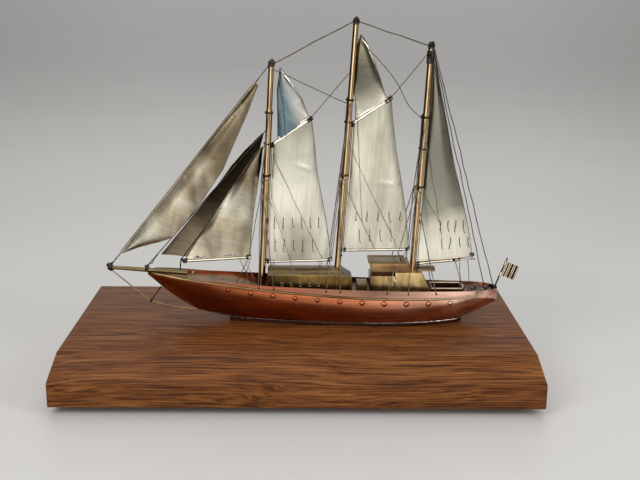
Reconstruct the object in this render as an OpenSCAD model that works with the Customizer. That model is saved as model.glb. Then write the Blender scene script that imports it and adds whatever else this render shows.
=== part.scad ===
// Three-masted topsail schooner, a table ornament soldered from sheet copper and
// brass rod, standing on a bevelled hardwood board.
// Row frame: +X towards the stern, +Z up, origin at the bottom centre of the feet.
// Ship frame: the same directions, origin on the board's top face in the ship's
// centre plane. Every ship module is drawn in the ship frame; on_ship() places it.

/* [Board] */
// Length of the hardwood board
board_l = 320; // [312:1:360]
// Width of the board
board_w = 154; // [120:1:180]
// Thickness of the board
board_t = 35; // [32:0.5:45]
// Height of the bevel that runs round the top of the board
bevel_h = 18.9; // [10:0.1:22]
// How far the bevel comes in at the two ends
bevel_end = 6.3; // [3:0.1:10]
// How far the bevel comes in along the two long sides
bevel_side = 8; // [3:0.1:12]
// Diameter of each round foot
foot_d = 14; // [10:1:20]
// Height of each foot
foot_h = 5.2; // [3:0.1:8]
// Distance of the feet from the board's edges
foot_inset = 20; // [14:1:40]
// Ship's centre plane, measured across the board from its middle
ship_y = -4; // [-8:1:8]

/* [Hull] */
// Breadth of the hull at the sheer, amidships
beam = 32; // [28:1:36]
// Breadth of the hull at its lower seam, amidships
seam_beam = 32.6; // [28:0.2:36]
// How far the side bulges out between sheer and seam
bulge = 2.2; // [0:0.1:4]
// Lowest height of the sheer above the board
sheer_low = 24.8; // [22:0.1:28]
// How much higher the sheer stands at the bow
sheer_rise = 9.2; // [6:0.1:12]
// Height of the flat main deck above the board
deck_h = 23.4; // [20:0.1:24]
// Thickness of the copper and brass sheet
sheet_t = 0.7; // [0.5:0.1:1]
// Thickness of the bottom plate that the hull is soldered to
bottom_t = 2.6; // [2:0.1:3]

/* [Rig] */
// Diameter of the lower masts
lower_d = 4.4; // [4:0.1:5]
// Diameter of the topmasts
top_d = 4; // [3.4:0.1:4.4]
// Diameter of the gaffs and booms
spar_d = 2.2; // [1.8:0.1:2.6]
// Diameter of the standing rigging wire
stay_d = 0.7; // [0.5:0.05:0.8]
// Diameter of the thin running rigging wire
line_d = 0.5; // [0.4:0.05:0.6]
// Thickness of the sheet brass that the sails are cut from
sail_t = 0.5; // [0.4:0.05:0.6]

/* [Swinging parts] */
// Radial clearance of the jib's tubes on the stay and of the flag's on its staff
turn_gap = 0.06; // [0.03:0.01:0.09]
// Wall of those small tubes
tube_wall = 0.6; // [0.5:0.05:0.8]
// Diameter of the flagstaff
staff_d = 1; // [0.8:0.1:1.2]

/* [Hidden] */

round_fn = 48;
wire_fn = 16;
board_top = foot_h + board_t;

// Hull lines. Every height is measured from the board's top face.
stem_x = -104.8;
stern_x = 138.6;
forefoot_x = -70.7;
forefoot_h = 6.8;
keel_flat_x = -38;
counter_x = 113;
counter_h = 15.1;
quarter_x = 121;
stem_bulge = 1.6;
edge_half = 0.5;
stations = 46;
rows = 8;

// Masts: [x where the mast passes the deck, rake in mm per mm of height,
// height of the truck, height of the crosstree, height of the lower mast's head]
FORE = [-26, 0.0469, 178.8, 102.5, 147];
MAIN = [25.9, 0.0559, 206.2, 103.3, 156];
MIZZEN = [78.3, 0.0425, 191.2, 95.5, 145];
MASTS = [FORE, MAIN, MIZZEN];
top_side = -(lower_d + top_d) / 2;
top_taper = 0.9;

// Spars, as end points in the ship's centre plane: [x, y, height]
FORE_GAFF = [[-19.3, 0, 122.8], [8.1, 0, 141.6]];
MAIN_GAFF = [[34.2, 0, 137.5], [61.1, 0, 155.3]];
STAYSAIL_BOOM = [[-80.3, 0, 41.8], [-33.3, 0, 45]];
FORE_BOOM = [[-23.1, 0, 41.8], [22.8, 0, 43.5]];
MAIN_BOOM = [[29.4, 0, 50.4], [76, 0, 51.4]];
MIZZEN_BOOM = [[81, 0, 41], [109, 0, 44.1], [122.4, 0, 44.8]];
BOWSPRIT = [[-132.2, 0, 37.1], [-78, 0, 33.4]];
bowsprit_tip_d = 2.6;
bowsprit_heel_d = 3.6;

// Stays in the centre plane
OUTER_STAY = [[-131, 0, 37.2], [-20.2, top_side, 176.5]];
INNER_STAY = [[-106.5, 0, 36.4], [-22.7, 0, 133]];
STAYSAIL_STAY = [[-81.6, 0, 42.8], [-23.2, 0, 123]];

roll_d = 1.6;

// Flying jib, as [distance from the stay, distance along the stay]
JIB = [[0.9, 14], [7.3, 24.6], [15.6, 36], [21.1, 45], [21.3, 60], [21, 78],
    [18.8, 104], [12.9, 126], [8, 145], [2.2, 163.4], [0.9, 163.4]];
JIB_TUBES = [[14, 6], [62, 4], [112, 4], [157, 6]];

// Flagstaff and ensign
STAFF = [[136.9, 0, 24.5], [144.7, 0, 45.4]];
flag_hoist = 10.5;
flag_fly = 9.5;
flag_foot = 9.2;
flag_wave = 0.55;
flag_waves = 3;
flag_t = 0.4;

// Deck furniture: [x start, x end, half breadth, bottom height, top height]
FOREHOUSE = [-21.5, 36.5, 9, deck_h, 33.5];
forehouse_crown = 5.2;
forehouse_slope = 38;
forehouse_slope_l = 6;
forehouse_slope_z = 34;
HATCH = [40, 47.5, 5, deck_h, 28.4];
MIDSHIP = [49, 66, 9, deck_h, 34.5];
AFTCABIN = [66.1, 91, 9, deck_h, 37];
aft_slope = 6.5;
PLINTH = [50.5, 65.5, 6, 34.5, 37];
CHARTHOUSE = [49.5, 75.9, 8.2, 37, 43.4];
CHARTROOF = [47.5, 73.3, 8.8, 43.4, 44.6];
HOOD = [82, 94, 5.5, 37, 39.4];
COCKPIT = [92.5, 113, 7, 16.4, deck_h];
house_wall = 0.6;
porthole_bore = 2.2;
porthole_ring = 0.6;

// Screws that hold the ship to its board
SCREW_X = [0, 55];
screw_d = 3;
screw_gap = 0.2;
screw_head_d = 5.6;
screw_head_h = 2.4;
sink_d = 8;
sink_h = 24;
nut_af = 5.5;
nut_t = 2.4;

function lerp(a, b, t) = a + (b - a) * t;
function clamp01(t) = max(0, min(1, t));

// Height of the sheer line at x
function sheer_z(x) = sheer_low + sheer_rise * pow(max(0, 110 - x) / 215, 1.7);

// Height of the stem and keel line at x
function stem_z(x) = let (t = clamp01((x - stem_x) / (forefoot_x - stem_x)))
    lerp(sheer_z(stem_x) - 1.8, forefoot_h, t) - stem_bulge * sin(180 * t);
function forefoot_z(x) = lerp(bottom_t, forefoot_h,
    pow(clamp01((keel_flat_x - x) / (keel_flat_x - forefoot_x)), 1.3));
function counter_z(x) = lerp(bottom_t, counter_h,
    pow(clamp01((x - counter_x) / (stern_x - counter_x)), 1.3));
function keel_z(x) = x < forefoot_x ? stem_z(x)
    : x < keel_flat_x ? forefoot_z(x) : counter_z(x);

// Half breadth at the sheer and at the lower seam
function bow_fair(x) = pow(sin(90 * clamp01((x - stem_x) / 110)), 0.35);
function aft_fair(x) = 1 - 0.25 * pow(max(0, x - 30) / 91, 2);
function quarter_fair(x) = sqrt(1 - pow(clamp01((x - quarter_x) / (stern_x - quarter_x)), 2));
function sheer_half(x) = max(edge_half, beam / 2 * bow_fair(x) * aft_fair(x) * quarter_fair(x));
function seam_half(x) = max(edge_half, seam_beam / 2 * (x < 55
    ? cos(90 * clamp01((55 - x) / 125)) : sqrt(cos(90 * clamp01((x - 55) / 60)))));

// Half breadth of the hull at station x, a share t of the way from sheer to seam
function flare(x) = lerp(1.35, 2.4, clamp01((x + 60) / 180));
function full(x) = clamp01(min((x - stem_x) / 60, (stern_x - x) / 30));
function hull_half(x, t) = seam_half(x) + (sheer_half(x) - seam_half(x)) * (1 - pow(t, flare(x)))
    + bulge * full(x) * sin(180 * t);
function share(x, z) = clamp01((sheer_z(x) - z) / (sheer_z(x) - keel_z(x)));
function hull_at(x, z) = hull_half(x, share(x, z));

// Stations are closer together at the stem and at the rounded stern
function station(i) = lerp(stem_x, stern_x, (1 - cos(180 * i / stations)) / 2);

// Height of the rub rail and of the deck at x
function rail_z(x) = 20 + 13.5 * pow(max(0, 75 - x) / 165, 1.6)
    + 0.0004 * pow(max(0, x - 75), 2);
function deck_z(x) = min(sheer_z(x) - 1.6, max(deck_h, deck_h + (-24 - x) * 0.23));

// A point on a mast's axis at height z
function mast_x(m, z) = m[0] + m[1] * (z - deck_h);
function on_lower(m, z) = [mast_x(m, z), 0, z];
function on_top(m, z) = [mast_x(m, z), top_side, z];

// Points just inside a mast's surface, where a wire is soldered on; way is -1 on the
// forward face and 1 on the after face
embed = 0.2;
function lower_face(m, z, way) = on_lower(m, z) + [way * (lower_d / 2 - embed), 0, 0];
function top_face(m, z, way) = on_top(m, z) + [way * (top_d * top_taper / 2 - embed), 0, 0];

// The crosstree lies against the forward face of its mast
crosstree_half = 7.4;
crosstree_d = 1.2;
crosstree_drop = 1.4;
function crosstree_x(m) = mast_x(m, m[3]) - lower_d / 2 - crosstree_d / 2 + embed;

// ---- shared shapes ----

module on_ship() {
    translate([0, ship_y, board_top]) children();
}

// Turns local +Z onto the line from a to b, with local +X aft and down
module along(a, b) {
    v = b - a;
    translate(a) rotate([0, acos(v[2] / norm(v)), atan2(v[1], v[0])]) children();
}

module rod(a, b, d) {
    along(a, b) cylinder(h = norm(b - a), d = d, $fn = wire_fn);
}

// A bent wire, with a bead of solder at each bend
module bent_wire(points, d) {
    for (i = [0 : len(points) - 2]) rod(points[i], points[i + 1], d);
    for (i = [1 : len(points) - 2]) translate(points[i]) sphere(d = d * 1.4, $fn = wire_fn);
}

// A flat plate in the ship's centre plane, drawn as [x, height] points
module centre_plate(points, t) {
    rotate([90, 0, 0]) linear_extrude(height = t, center = true) polygon(points);
}

module both_sides() {
    children();
    mirror([0, 1, 0]) children();
}

// A closed skin between rings of points. Every ring has the same even number of
// points, the second half of them lying across from the first half in reverse.
module skin(rings) {
    n = len(rings[0]);
    m = len(rings);
    points = [for (ring = rings) for (p = ring) p];
    sides = [for (i = [0 : m - 2]) for (j = [0 : n - 1]) let (k = (j + 1) % n) each [
        [i * n + j, (i + 1) * n + j, (i + 1) * n + k],
        [i * n + j, (i + 1) * n + k, i * n + k]]];
    caps = [for (j = [0 : n / 2 - 2]) let (e = (m - 1) * n) each [
        [j, j + 1, n - 2 - j, n - 1 - j],
        [e + n - 1 - j, e + n - 2 - j, e + j + 1, e + j]]];
    polyhedron(points, concat(caps, sides), convexity = 10);
}

// A box [x start, x end, half breadth, bottom, top]
module house_box(h) {
    translate([h[0], -h[2], h[3]]) cube([h[1] - h[0], 2 * h[2], h[4] - h[3]]);
}

// The same box, smaller by one wall all round except at its open bottom
module house_room(h) {
    room = [h[0] + house_wall, h[1] - house_wall, h[2] - house_wall, h[3] - 1, h[4] - house_wall];
    house_box(room);
}

module mast_hole(m, z, d) {
    translate(on_lower(m, z)) cylinder(h = 12, d = d, center = true, $fn = round_fn);
}

// ---- board ----

module base_board() {
    low_h = board_t - bevel_h;
    side = [[-board_w / 2, 0], [board_w / 2, 0], [board_w / 2, low_h],
        [board_w / 2 - bevel_side, board_t], [bevel_side - board_w / 2, board_t],
        [-board_w / 2, low_h]];
    end = [[-board_l / 2, 0], [board_l / 2, 0], [board_l / 2, low_h],
        [board_l / 2 - bevel_end, board_t], [bevel_end - board_l / 2, board_t],
        [-board_l / 2, low_h]];
    color("sienna") translate([0, 0, foot_h]) difference() {
        intersection() {
            rotate([90, 0, 90]) linear_extrude(height = board_l, center = true) polygon(side);
            rotate([90, 0, 0]) linear_extrude(height = board_w, center = true) polygon(end);
        }
        for (x = SCREW_X) translate([x, ship_y, 0]) {
            translate([0, 0, -1])
                cylinder(h = board_t + 2, d = screw_d + 2 * screw_gap, $fn = round_fn);
            translate([0, 0, -1]) cylinder(h = sink_h + 1, d = sink_d, $fn = round_fn);
        }
    }
}

module feet() {
    color("dimgray")
        for (x = [-1, 1], y = [-1, 1])
            translate([x * (board_l / 2 - foot_inset), y * (board_w / 2 - foot_inset), 0])
                cylinder(h = foot_h, d = foot_d, $fn = round_fn);
}

module mounting_screws() {
    reach = board_t - sink_h + bottom_t + nut_t + 0.6;
    color("silver") for (x = SCREW_X) translate([x, ship_y, foot_h + sink_h]) {
        translate([0, 0, -screw_head_h]) difference() {
            cylinder(h = screw_head_h, d = screw_head_d, $fn = round_fn);
            translate([0, 0, 0.5]) cube([screw_head_d + 1, 0.8, 1.4], center = true);
        }
        cylinder(h = reach, d = screw_d, $fn = round_fn);
    }
}

module mounting_nuts() {
    color("goldenrod") on_ship() for (x = SCREW_X) translate([x, 0, bottom_t]) difference() {
        cylinder(h = nut_t, d = nut_af / cos(30), $fn = 6);
        translate([0, 0, -1]) cylinder(h = nut_t + 2, d = screw_d, $fn = round_fn);
    }
}

// ---- hull ----

module bottom_plate() {
    steps = 36;
    front = -48;
    back = 114;
    edge = [for (i = [0 : steps]) let (x = lerp(front, back, i / steps)) [x, seam_half(x) - 0.6]];
    other = [for (i = [steps : -1 : 0]) let (x = lerp(front, back, i / steps))
        [x, 0.6 - seam_half(x)]];
    outline = [for (p = concat(edge, other)) abs(p[1]) < 0.3 ? [p[0], 0.3 * sign(p[1])] : p];
    color("saddlebrown") on_ship() difference() {
        linear_extrude(height = bottom_t) polygon(outline);
        for (x = SCREW_X) translate([x, 0, -1])
            cylinder(h = bottom_t + 2, d = screw_d + 2 * screw_gap, $fn = round_fn);
    }
}

// One side of the hull, a shell of copper sheet. Each ring runs up the outer face
// from seam to sheer and back down the inner face.
module hull_side() {
    rings = [for (i = [0 : stations]) let (x = station(i), top = sheer_z(x), low = keel_z(x))
        concat(
            [for (j = [rows : -1 : 0]) [x, hull_half(x, j / rows), lerp(top, low, j / rows)]],
            [for (j = [0 : rows])
                [x, max(0, hull_half(x, j / rows) - sheet_t), lerp(top, low, j / rows)]])];
    skin(rings);
}

module hull_starboard() {
    color("#9a5238") on_ship() hull_side();
}

module hull_port() {
    color("#9a5238") on_ship() mirror([0, 1, 0]) hull_side();
}

// A strip that follows the hull's side from x0 to x1 at height f(x)
module side_strip(x0, x1, steps, heights, thick, tall, sink) {
    rings = [for (i = [0 : steps]) let (x = lerp(x0, x1, i / steps), z = heights[i],
        y = hull_at(x, z) - sink)
        [[x, y, z - tall / 2], [x, y + thick, z - tall / 2],
         [x, y + thick, z + tall / 2], [x, y, z + tall / 2]]];
    skin(rings);
}

rail_steps = 30;
rail_heights = [for (i = [0 : rail_steps]) rail_z(lerp(-101, 122, i / rail_steps))];

module rub_rail_starboard() {
    color("#b8935a") on_ship() side_strip(-101, 122, rail_steps, rail_heights, 1.1, 1.5, 0.15);
}

module rub_rail_port() {
    color("#b8935a") on_ship() mirror([0, 1, 0])
        side_strip(-101, 122, rail_steps, rail_heights, 1.1, 1.5, 0.15);
}

seam_steps = 30;
seam_heights = [for (i = [0 : seam_steps]) keel_z(lerp(-66, 112, i / seam_steps)) + 0.3];

module solder_seam() {
    color("gainsboro") on_ship() both_sides()
        side_strip(-66, 112, seam_steps, seam_heights, 0.7, 0.9, 0.15);
}

module hull_portlights() {
    color("#b06a48") on_ship() both_sides() for (i = [0 : 10]) {
        x = -48 + 15.2 * i;
        z = rail_z(x) - 3.2;
        translate([x, hull_at(x, z) - 0.35, z]) rotate([-90, 0, 0])
            cylinder(h = 0.9, d1 = 2.8, d2 = 1.6, $fn = round_fn);
    }
}

module deck_plate() {
    gap = 0.08;
    first = 4;
    rings = [for (i = [first : stations - 4]) let (x = station(i), z = deck_z(x),
        y = min(hull_at(x, z), hull_at(x, z - sheet_t)) - sheet_t - gap)
        [[x, -y, z - sheet_t], [x, y, z - sheet_t], [x, y, z], [x, -y, z]]];
    color("#8c6f45") on_ship() difference() {
        skin(rings);
        for (m = MASTS) mast_hole(m, deck_h, lower_d + 0.5);
        translate([COCKPIT[0], -COCKPIT[2], deck_h - 5])
            cube([COCKPIT[1] - COCKPIT[0], 2 * COCKPIT[2], 10]);
    }
}

// ---- bow ----

module bowsprit() {
    color("#8a7a45") on_ship() along(BOWSPRIT[0], BOWSPRIT[1])
        cylinder(h = norm(BOWSPRIT[1] - BOWSPRIT[0]), d1 = bowsprit_tip_d,
            d2 = bowsprit_heel_d, $fn = round_fn);
}

module bobstay() {
    color("#a08550") on_ship()
        bent_wire([[-130.9, 0, 36], [-103.4, 0, 12.5], [-79.8, 0, 7.6], [-70.4, 0, 6.7]], 1);
}

module dolphin_striker() {
    color("dimgray") on_ship() rod([-103.1, 0, 12.9], [-95.8, 0, 23.6], 1);
}

module staysail_post() {
    color("dimgray") on_ship() {
        rod([-82, 0, 33.6], [-81.6, 0, 42.6], 0.9);
        translate([-81.5, 0, 42.6]) sphere(d = 1.8, $fn = wire_fn);
    }
}

// ---- deck furniture ----

// A house with an arched roof, drawn across the ship
module arched(h, crown, wall) {
    half = h[2] - wall;
    steps = 14;
    arc = [for (i = [0 : steps]) let (a = 180 * i / steps)
        [half * cos(a), h[4] - h[3] + (crown - wall) * sin(a)]];
    translate([h[0] + wall, 0, h[3] - (wall > 0 ? 1 : 0)]) rotate([90, 0, 90])
        linear_extrude(height = h[1] - h[0] - 2 * wall)
            polygon(concat([[-half, 0], [half, 0]],
                [for (p = arc) [p[0], p[1] + (wall > 0 ? 1 : 0)]]));
}

module forward_deckhouse() {
    color("#9c8148") on_ship() difference() {
        arched(FOREHOUSE, forehouse_crown, 0);
        arched(FOREHOUSE, forehouse_crown, house_wall);
        translate([FOREHOUSE[1] - forehouse_slope_l, 0, forehouse_slope_z])
            rotate([0, -forehouse_slope, 0]) translate([0, -FOREHOUSE[2] - 1, 1])
                cube([20, 2 * FOREHOUSE[2] + 2, 20]);
        mast_hole(MAIN, 36, lower_d + 0.5);
    }
}

module deckhouse_portlights() {
    color("#c9a45c") on_ship() both_sides() for (i = [0 : 4])
        translate([-11.5 + 6.3 * i, FOREHOUSE[2], 28]) rotate([-90, 0, 0])
            rotate_extrude($fn = round_fn) translate([porthole_bore / 2, 0])
                square([porthole_ring, 0.5]);
}

module deck_hatch() {
    color("#8f8a72") on_ship() difference() {
        house_box(HATCH);
        house_room(HATCH);
    }
}

module midship_cabin() {
    color("#8a6a3c") on_ship() difference() {
        house_box(MIDSHIP);
        house_room(MIDSHIP);
    }
}

// The after cabin's aft wall leans forward
module aft_cabin() {
    profile = [[AFTCABIN[0], deck_h], [AFTCABIN[1], deck_h],
        [AFTCABIN[1] - aft_slope, AFTCABIN[4]], [AFTCABIN[0], AFTCABIN[4]]];
    w = house_wall;
    room = [[AFTCABIN[0] + w, deck_h - 1], [AFTCABIN[1] - w, deck_h - 1],
        [AFTCABIN[1] - w, deck_h], [AFTCABIN[1] - aft_slope - w, AFTCABIN[4] - w],
        [AFTCABIN[0] + w, AFTCABIN[4] - w]];
    color("#a98a4c") on_ship() difference() {
        centre_plate(profile, 2 * AFTCABIN[2]);
        centre_plate(room, 2 * (AFTCABIN[2] - w));
        mast_hole(MIZZEN, AFTCABIN[4], lower_d + 0.5);
    }
}

module charthouse_plinth() {
    color("#3a2a20") on_ship() house_box(PLINTH);
}

module charthouse() {
    color("#9a7c50") on_ship() difference() {
        house_box(CHARTHOUSE);
        house_room(CHARTHOUSE);
    }
}

module charthouse_roof() {
    rim = 1.2;
    tray = [CHARTROOF[0] + rim, CHARTROOF[1] - rim, CHARTROOF[2] - rim,
        CHARTROOF[3] + house_wall, CHARTROOF[4] + 1];
    color("#8f8050") on_ship() difference() {
        house_box(CHARTROOF);
        house_box(tray);
    }
}

// A small barrel roof over the companionway
module companion_hood() {
    color("#8f8a6a") on_ship() difference() {
        arched([HOOD[0], HOOD[1], HOOD[2], HOOD[3], HOOD[3] + 1], HOOD[4] - HOOD[3] - 1, 0);
        arched([HOOD[0] - 2, HOOD[1] + 2, HOOD[2], HOOD[3], HOOD[3] + 1],
            HOOD[4] - HOOD[3] - 1, house_wall);
    }
}

// An open tray let into the deck, with a raised coaming
module cockpit_well() {
    rim = 1.1;
    flange = [COCKPIT[0] - rim, COCKPIT[1] + rim, COCKPIT[2] + rim, deck_h, deck_h + 1.6];
    outer = [COCKPIT[0] + 0.05, COCKPIT[1] - 0.05, COCKPIT[2] - 0.05, COCKPIT[3], deck_h + 0.5];
    inner = [COCKPIT[0] + house_wall, COCKPIT[1] - house_wall, COCKPIT[2] - house_wall,
        COCKPIT[3] + house_wall, deck_h + 5];
    color("#7a6238") on_ship() difference() {
        union() {
            house_box(flange);
            house_box(outer);
        }
        house_box(inner);
    }
}

// ---- masts ----

module lower_mast(m) {
    a = on_lower(m, bottom_t);
    b = on_lower(m, m[4]);
    along(a, b) cylinder(h = norm(b - a), d = lower_d, $fn = round_fn);
}

module topmast(m) {
    a = on_top(m, m[3] - 2);
    b = on_top(m, m[2]);
    along(a, b) cylinder(h = norm(b - a), d1 = top_d, d2 = top_d * top_taper, $fn = round_fn);
}

module fore_lower_mast() { color("#a07c44") on_ship() lower_mast(FORE); }
module fore_topmast() { color("#b08c50") on_ship() topmast(FORE); }
module main_lower_mast() { color("#a07c44") on_ship() lower_mast(MAIN); }
module main_topmast() { color("#b08c50") on_ship() topmast(MAIN); }
module mizzen_lower_mast() { color("#a07c44") on_ship() lower_mast(MIZZEN); }
module mizzen_topmast() { color("#b08c50") on_ship() topmast(MIZZEN); }

// A band that ties the topmast to the lower mast
module cap_band(m, z) {
    ring = 1.1;
    band_h = 2.4;
    translate(on_lower(m, z)) difference() {
        union() {
            cylinder(h = band_h, d = lower_d + 2 * ring, center = true, $fn = round_fn);
            translate([0, top_side, 0])
                cylinder(h = band_h, d = top_d + 2 * ring, center = true, $fn = round_fn);
        }
        cylinder(h = band_h + 1, d = lower_d - 0.1, center = true, $fn = round_fn);
        translate([0, top_side, 0])
            cylinder(h = band_h + 1, d = top_d - 0.1, center = true, $fn = round_fn);
    }
}

module mast_caps() {
    color("#6a5a40") on_ship() for (m = MASTS) {
        cap_band(m, m[4] - 1.8);
        cap_band(m, m[3] + 0.4);
    }
}

// A bar across each mast and topmast, just below the lower band, which spreads the shrouds
module crosstrees() {
    color("#5a5048") on_ship() for (m = MASTS)
        translate([crosstree_x(m), top_side / 2, m[3] - crosstree_drop]) rotate([90, 0, 0])
            cylinder(h = 2 * crosstree_half, d = crosstree_d, center = true, $fn = wire_fn);
}

// ---- spars ----

module fore_gaff() { color("#a8884c") on_ship() rod(FORE_GAFF[0], FORE_GAFF[1], spar_d); }
module main_gaff() { color("#a8884c") on_ship() rod(MAIN_GAFF[0], MAIN_GAFF[1], spar_d); }
module fore_boom() { color("#a8884c") on_ship() rod(FORE_BOOM[0], FORE_BOOM[1], spar_d); }
module main_boom() { color("#a8884c") on_ship() rod(MAIN_BOOM[0], MAIN_BOOM[1], spar_d); }

module staysail_boom() {
    color("#a8884c") on_ship() rod(STAYSAIL_BOOM[0], STAYSAIL_BOOM[1], spar_d);
}

// The mizzen boom ends in a thinner rod
module mizzen_boom() {
    color("#a8884c") on_ship() {
        rod(MIZZEN_BOOM[0], MIZZEN_BOOM[1], spar_d);
        rod(MIZZEN_BOOM[1], MIZZEN_BOOM[2], spar_d / 2);
    }
}

// ---- sails ----

// A point on a spar's centre line at x, and the same raised by up
function on_spar(s, x) = lerp(s[0][2], s[1][2], (x - s[0][0]) / (s[1][0] - s[0][0]));
function foot_at(s, x) = [x, on_spar(s, x) + spar_d * 0.4];
function head_at(s, x) = [x, on_spar(s, x) - spar_d * 0.4];

// The rolled edge of a sheet along two [x, height] points in the centre plane, and a little
// past both of them
module edge_roll(a, b) {
    more = (b - a) * 0.6 / norm(b - a);
    rod([a[0] - more[0], 0, a[1] - more[1]], [b[0] + more[0], 0, b[1] + more[1]], roll_d);
}

module flying_jib() {
    color("#b5a47a") on_ship() along(OUTER_STAY[0], OUTER_STAY[1])
        rotate([90, 0, 0]) linear_extrude(height = sail_t, center = true) polygon(JIB);
}

module jib_tubes() {
    color("#8a7444") on_ship() along(OUTER_STAY[0], OUTER_STAY[1])
        for (t = JIB_TUBES) translate([0, 0, t[0]]) difference() {
            cylinder(h = t[1], d = stay_d + 2 * (turn_gap + tube_wall), $fn = round_fn);
            translate([0, 0, -1])
                cylinder(h = t[1] + 2, d = stay_d + 2 * turn_gap, $fn = round_fn);
        }
}

// Lies against the far side of its stay
module inner_jib() {
    side = (stay_d + sail_t) / 2;
    points = [[-24.2, 131.4], [-30.2, 126], [-38, 118], [-46, 108.6], [-57.5, 92.4],
        [-95, 46.4], [-76, 44.9], [-52, 76], [-36, 100], [-27.6, 118]];
    color("#4a4030") on_ship() translate([0, side, 0]) centre_plate(points, sail_t);
}

module staysail() {
    points = [foot_at(STAYSAIL_BOOM, -78.6), foot_at(STAYSAIL_BOOM, -33.9),
        [-33, 62], [-31.3, 78], [-29.2, 90], [-27.6, 101], [-26, 110], [-24.9, 122],
        [-28.6, 118.8], [-33.4, 111.6], [-40, 102], [-47.8, 91], [-57.8, 75.4]];
    color("#b0a076") on_ship() centre_plate(points, sail_t);
}

module fore_sail() {
    tack = foot_at(FORE_BOOM, -21.9);
    throat = head_at(FORE_GAFF, -18.05);
    points = [tack, foot_at(FORE_BOOM, 21.4), [20.4, 58], [17.6, 75.2],
        [14.6, 90], [11.8, 105], [10, 124], head_at(FORE_GAFF, 7.8), throat];
    color("#cfc6a4") on_ship() {
        centre_plate(points, sail_t);
        edge_roll(tack, throat);
    }
}

module fore_topsail() {
    points = [foot_at(FORE_GAFF, -14.6), foot_at(FORE_GAFF, 6.2), [1.5, 153.6], [-3.3, 161.3],
        [-12.6, 174.3], [-15.1, 160], [-14.8, 145]];
    color("#9fb0b8") on_ship() centre_plate(points, sail_t);
}

module main_sail() {
    tack = foot_at(MAIN_BOOM, 30.7);
    throat = head_at(MAIN_GAFF, 35.6);
    points = [tack, foot_at(MAIN_BOOM, 75.4), [73.1, 75.6], [69.2, 98],
        [64.8, 120.5], [62.4, 138], head_at(MAIN_GAFF, 60.5), throat];
    color("#cfc6a4") on_ship() {
        centre_plate(points, sail_t);
        edge_roll(tack, throat);
    }
}

module main_topsail() {
    points = [foot_at(MAIN_GAFF, 36.6), foot_at(MAIN_GAFF, 57.5), [54.3, 163.8], [49, 178.8],
        [44.6, 189.5], [39.8, 196.2], [37.4, 189.6], [35.9, 183], [34.8, 170], [34.6, 158.2],
        [36.9, 156.4], [36.9, 152.2], [35.8, 146]];
    color("#b4ae90") on_ship() centre_plate(points, sail_t);
}

module mizzen_sail() {
    points = [[82.4, 43], [120, 47.2], [116, 68], [111.4, 86.4], [104.6, 110.6],
        [99.3, 134.3], [92.6, 163], [87.9, 186.4], [87.1, 186.4], [86.4, 144]];
    color("#b3b49c") on_ship() {
        centre_plate(points, sail_t);
        edge_roll(points[0], points[1]);
    }
}

// Reef points: a short wire passed through the sail and bent down on both faces.
// Each row is [x of the first, step, how many, height of the top, length]
REEFS = [
    [-17, 6.1, 6, 73.6, 7], [-16.6, 6.4, 5, 57.8, 8.2],
    [38.9, 7.5, 5, 78, 6.2], [41.2, 7.2, 4, 65.4, 8.2],
    [96.8, 5.3, 4, 72.2, 7.6], [98, 6.2, 4, 60.2, 7]
];
reef_d = 0.4;
module reef_points() {
    out = sail_t / 2 + reef_d / 2;
    color("dimgray") on_ship() for (r = REEFS) for (i = [0 : r[2] - 1])
        translate([r[0] + i * r[1], 0, r[3]]) {
            for (y = [-out, out]) translate([0, y, -r[4]])
                cylinder(h = r[4], d = reef_d, $fn = wire_fn);
            rotate([90, 0, 0])
                cylinder(h = 2 * out + reef_d, d = reef_d, center = true, $fn = wire_fn);
        }
}

// ---- standing rigging ----

module outer_forestay() {
    color("dimgray") on_ship() rod(OUTER_STAY[0], OUTER_STAY[1], stay_d);
}

module inner_forestays() {
    color("dimgray") on_ship() {
        rod(INNER_STAY[0], INNER_STAY[1], stay_d);
        rod(STAYSAIL_STAY[0], STAYSAIL_STAY[1], stay_d);
    }
}

// Wires between the mastheads
module spring_stays() {
    color("dimgray") on_ship() {
        rod(top_face(FORE, 177.6, 1), top_face(MAIN, 204.8, -1), stay_d);
        rod(top_face(MAIN, 204.8, 1), top_face(MIZZEN, 190, -1), stay_d);
        rod(top_face(FORE, 173.5, 1), lower_face(MAIN, 151.6, -1), line_d);
        rod([8.1, 0, 142.5], top_face(MAIN, 172, -1), line_d);
        rod([61, 0, 156.2], top_face(MIZZEN, 185, -1), line_d);
        bent_wire([top_face(MAIN, 193.6, 1), [63, top_side, 167], lower_face(MIZZEN, 142, -1)],
            line_d);
    }
}

// One shroud from a mast, over the end of its crosstree, down to the bulwark. The port
// shrouds, side -1, start outside the topmast.
module shroud(m, top, deck_x, side) {
    z = sheer_z(deck_x) - 2.2;
    start = side > 0 ? lower_d / 2 - embed : embed - top_side + top_d / 2 - 2 * embed;
    spread = crosstree_half - 0.6 - side * top_side / -2;
    bent_wire([[mast_x(m, top), side * start, top],
        [crosstree_x(m) - crosstree_d / 2, side * spread, m[3] - crosstree_drop],
        [deck_x, side * (hull_at(deck_x, z) - 0.3), z]], stay_d);
}

module shrouds(m, top, deck_points) {
    for (x = deck_points, side = [-1, 1]) shroud(m, top, x, side);
}

module fore_shrouds() { color("#8d8576") on_ship() shrouds(FORE, 144, [-27.5, -17]); }
module main_shrouds() { color("#8d8576") on_ship() shrouds(MAIN, 152, [18.6, 28.2]); }
module mizzen_shrouds() { color("#8d8576") on_ship() shrouds(MIZZEN, 141, [60.4, 75, 94.2]); }

module backstays() {
    color("dimgray") on_ship() {
        rod(top_face(MIZZEN, 188, 1), [130.6, 7.2, 24], stay_d);
        rod(top_face(MIZZEN, 189.6, 1), [136, -1.9, 23.8], stay_d);
    }
}

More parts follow.
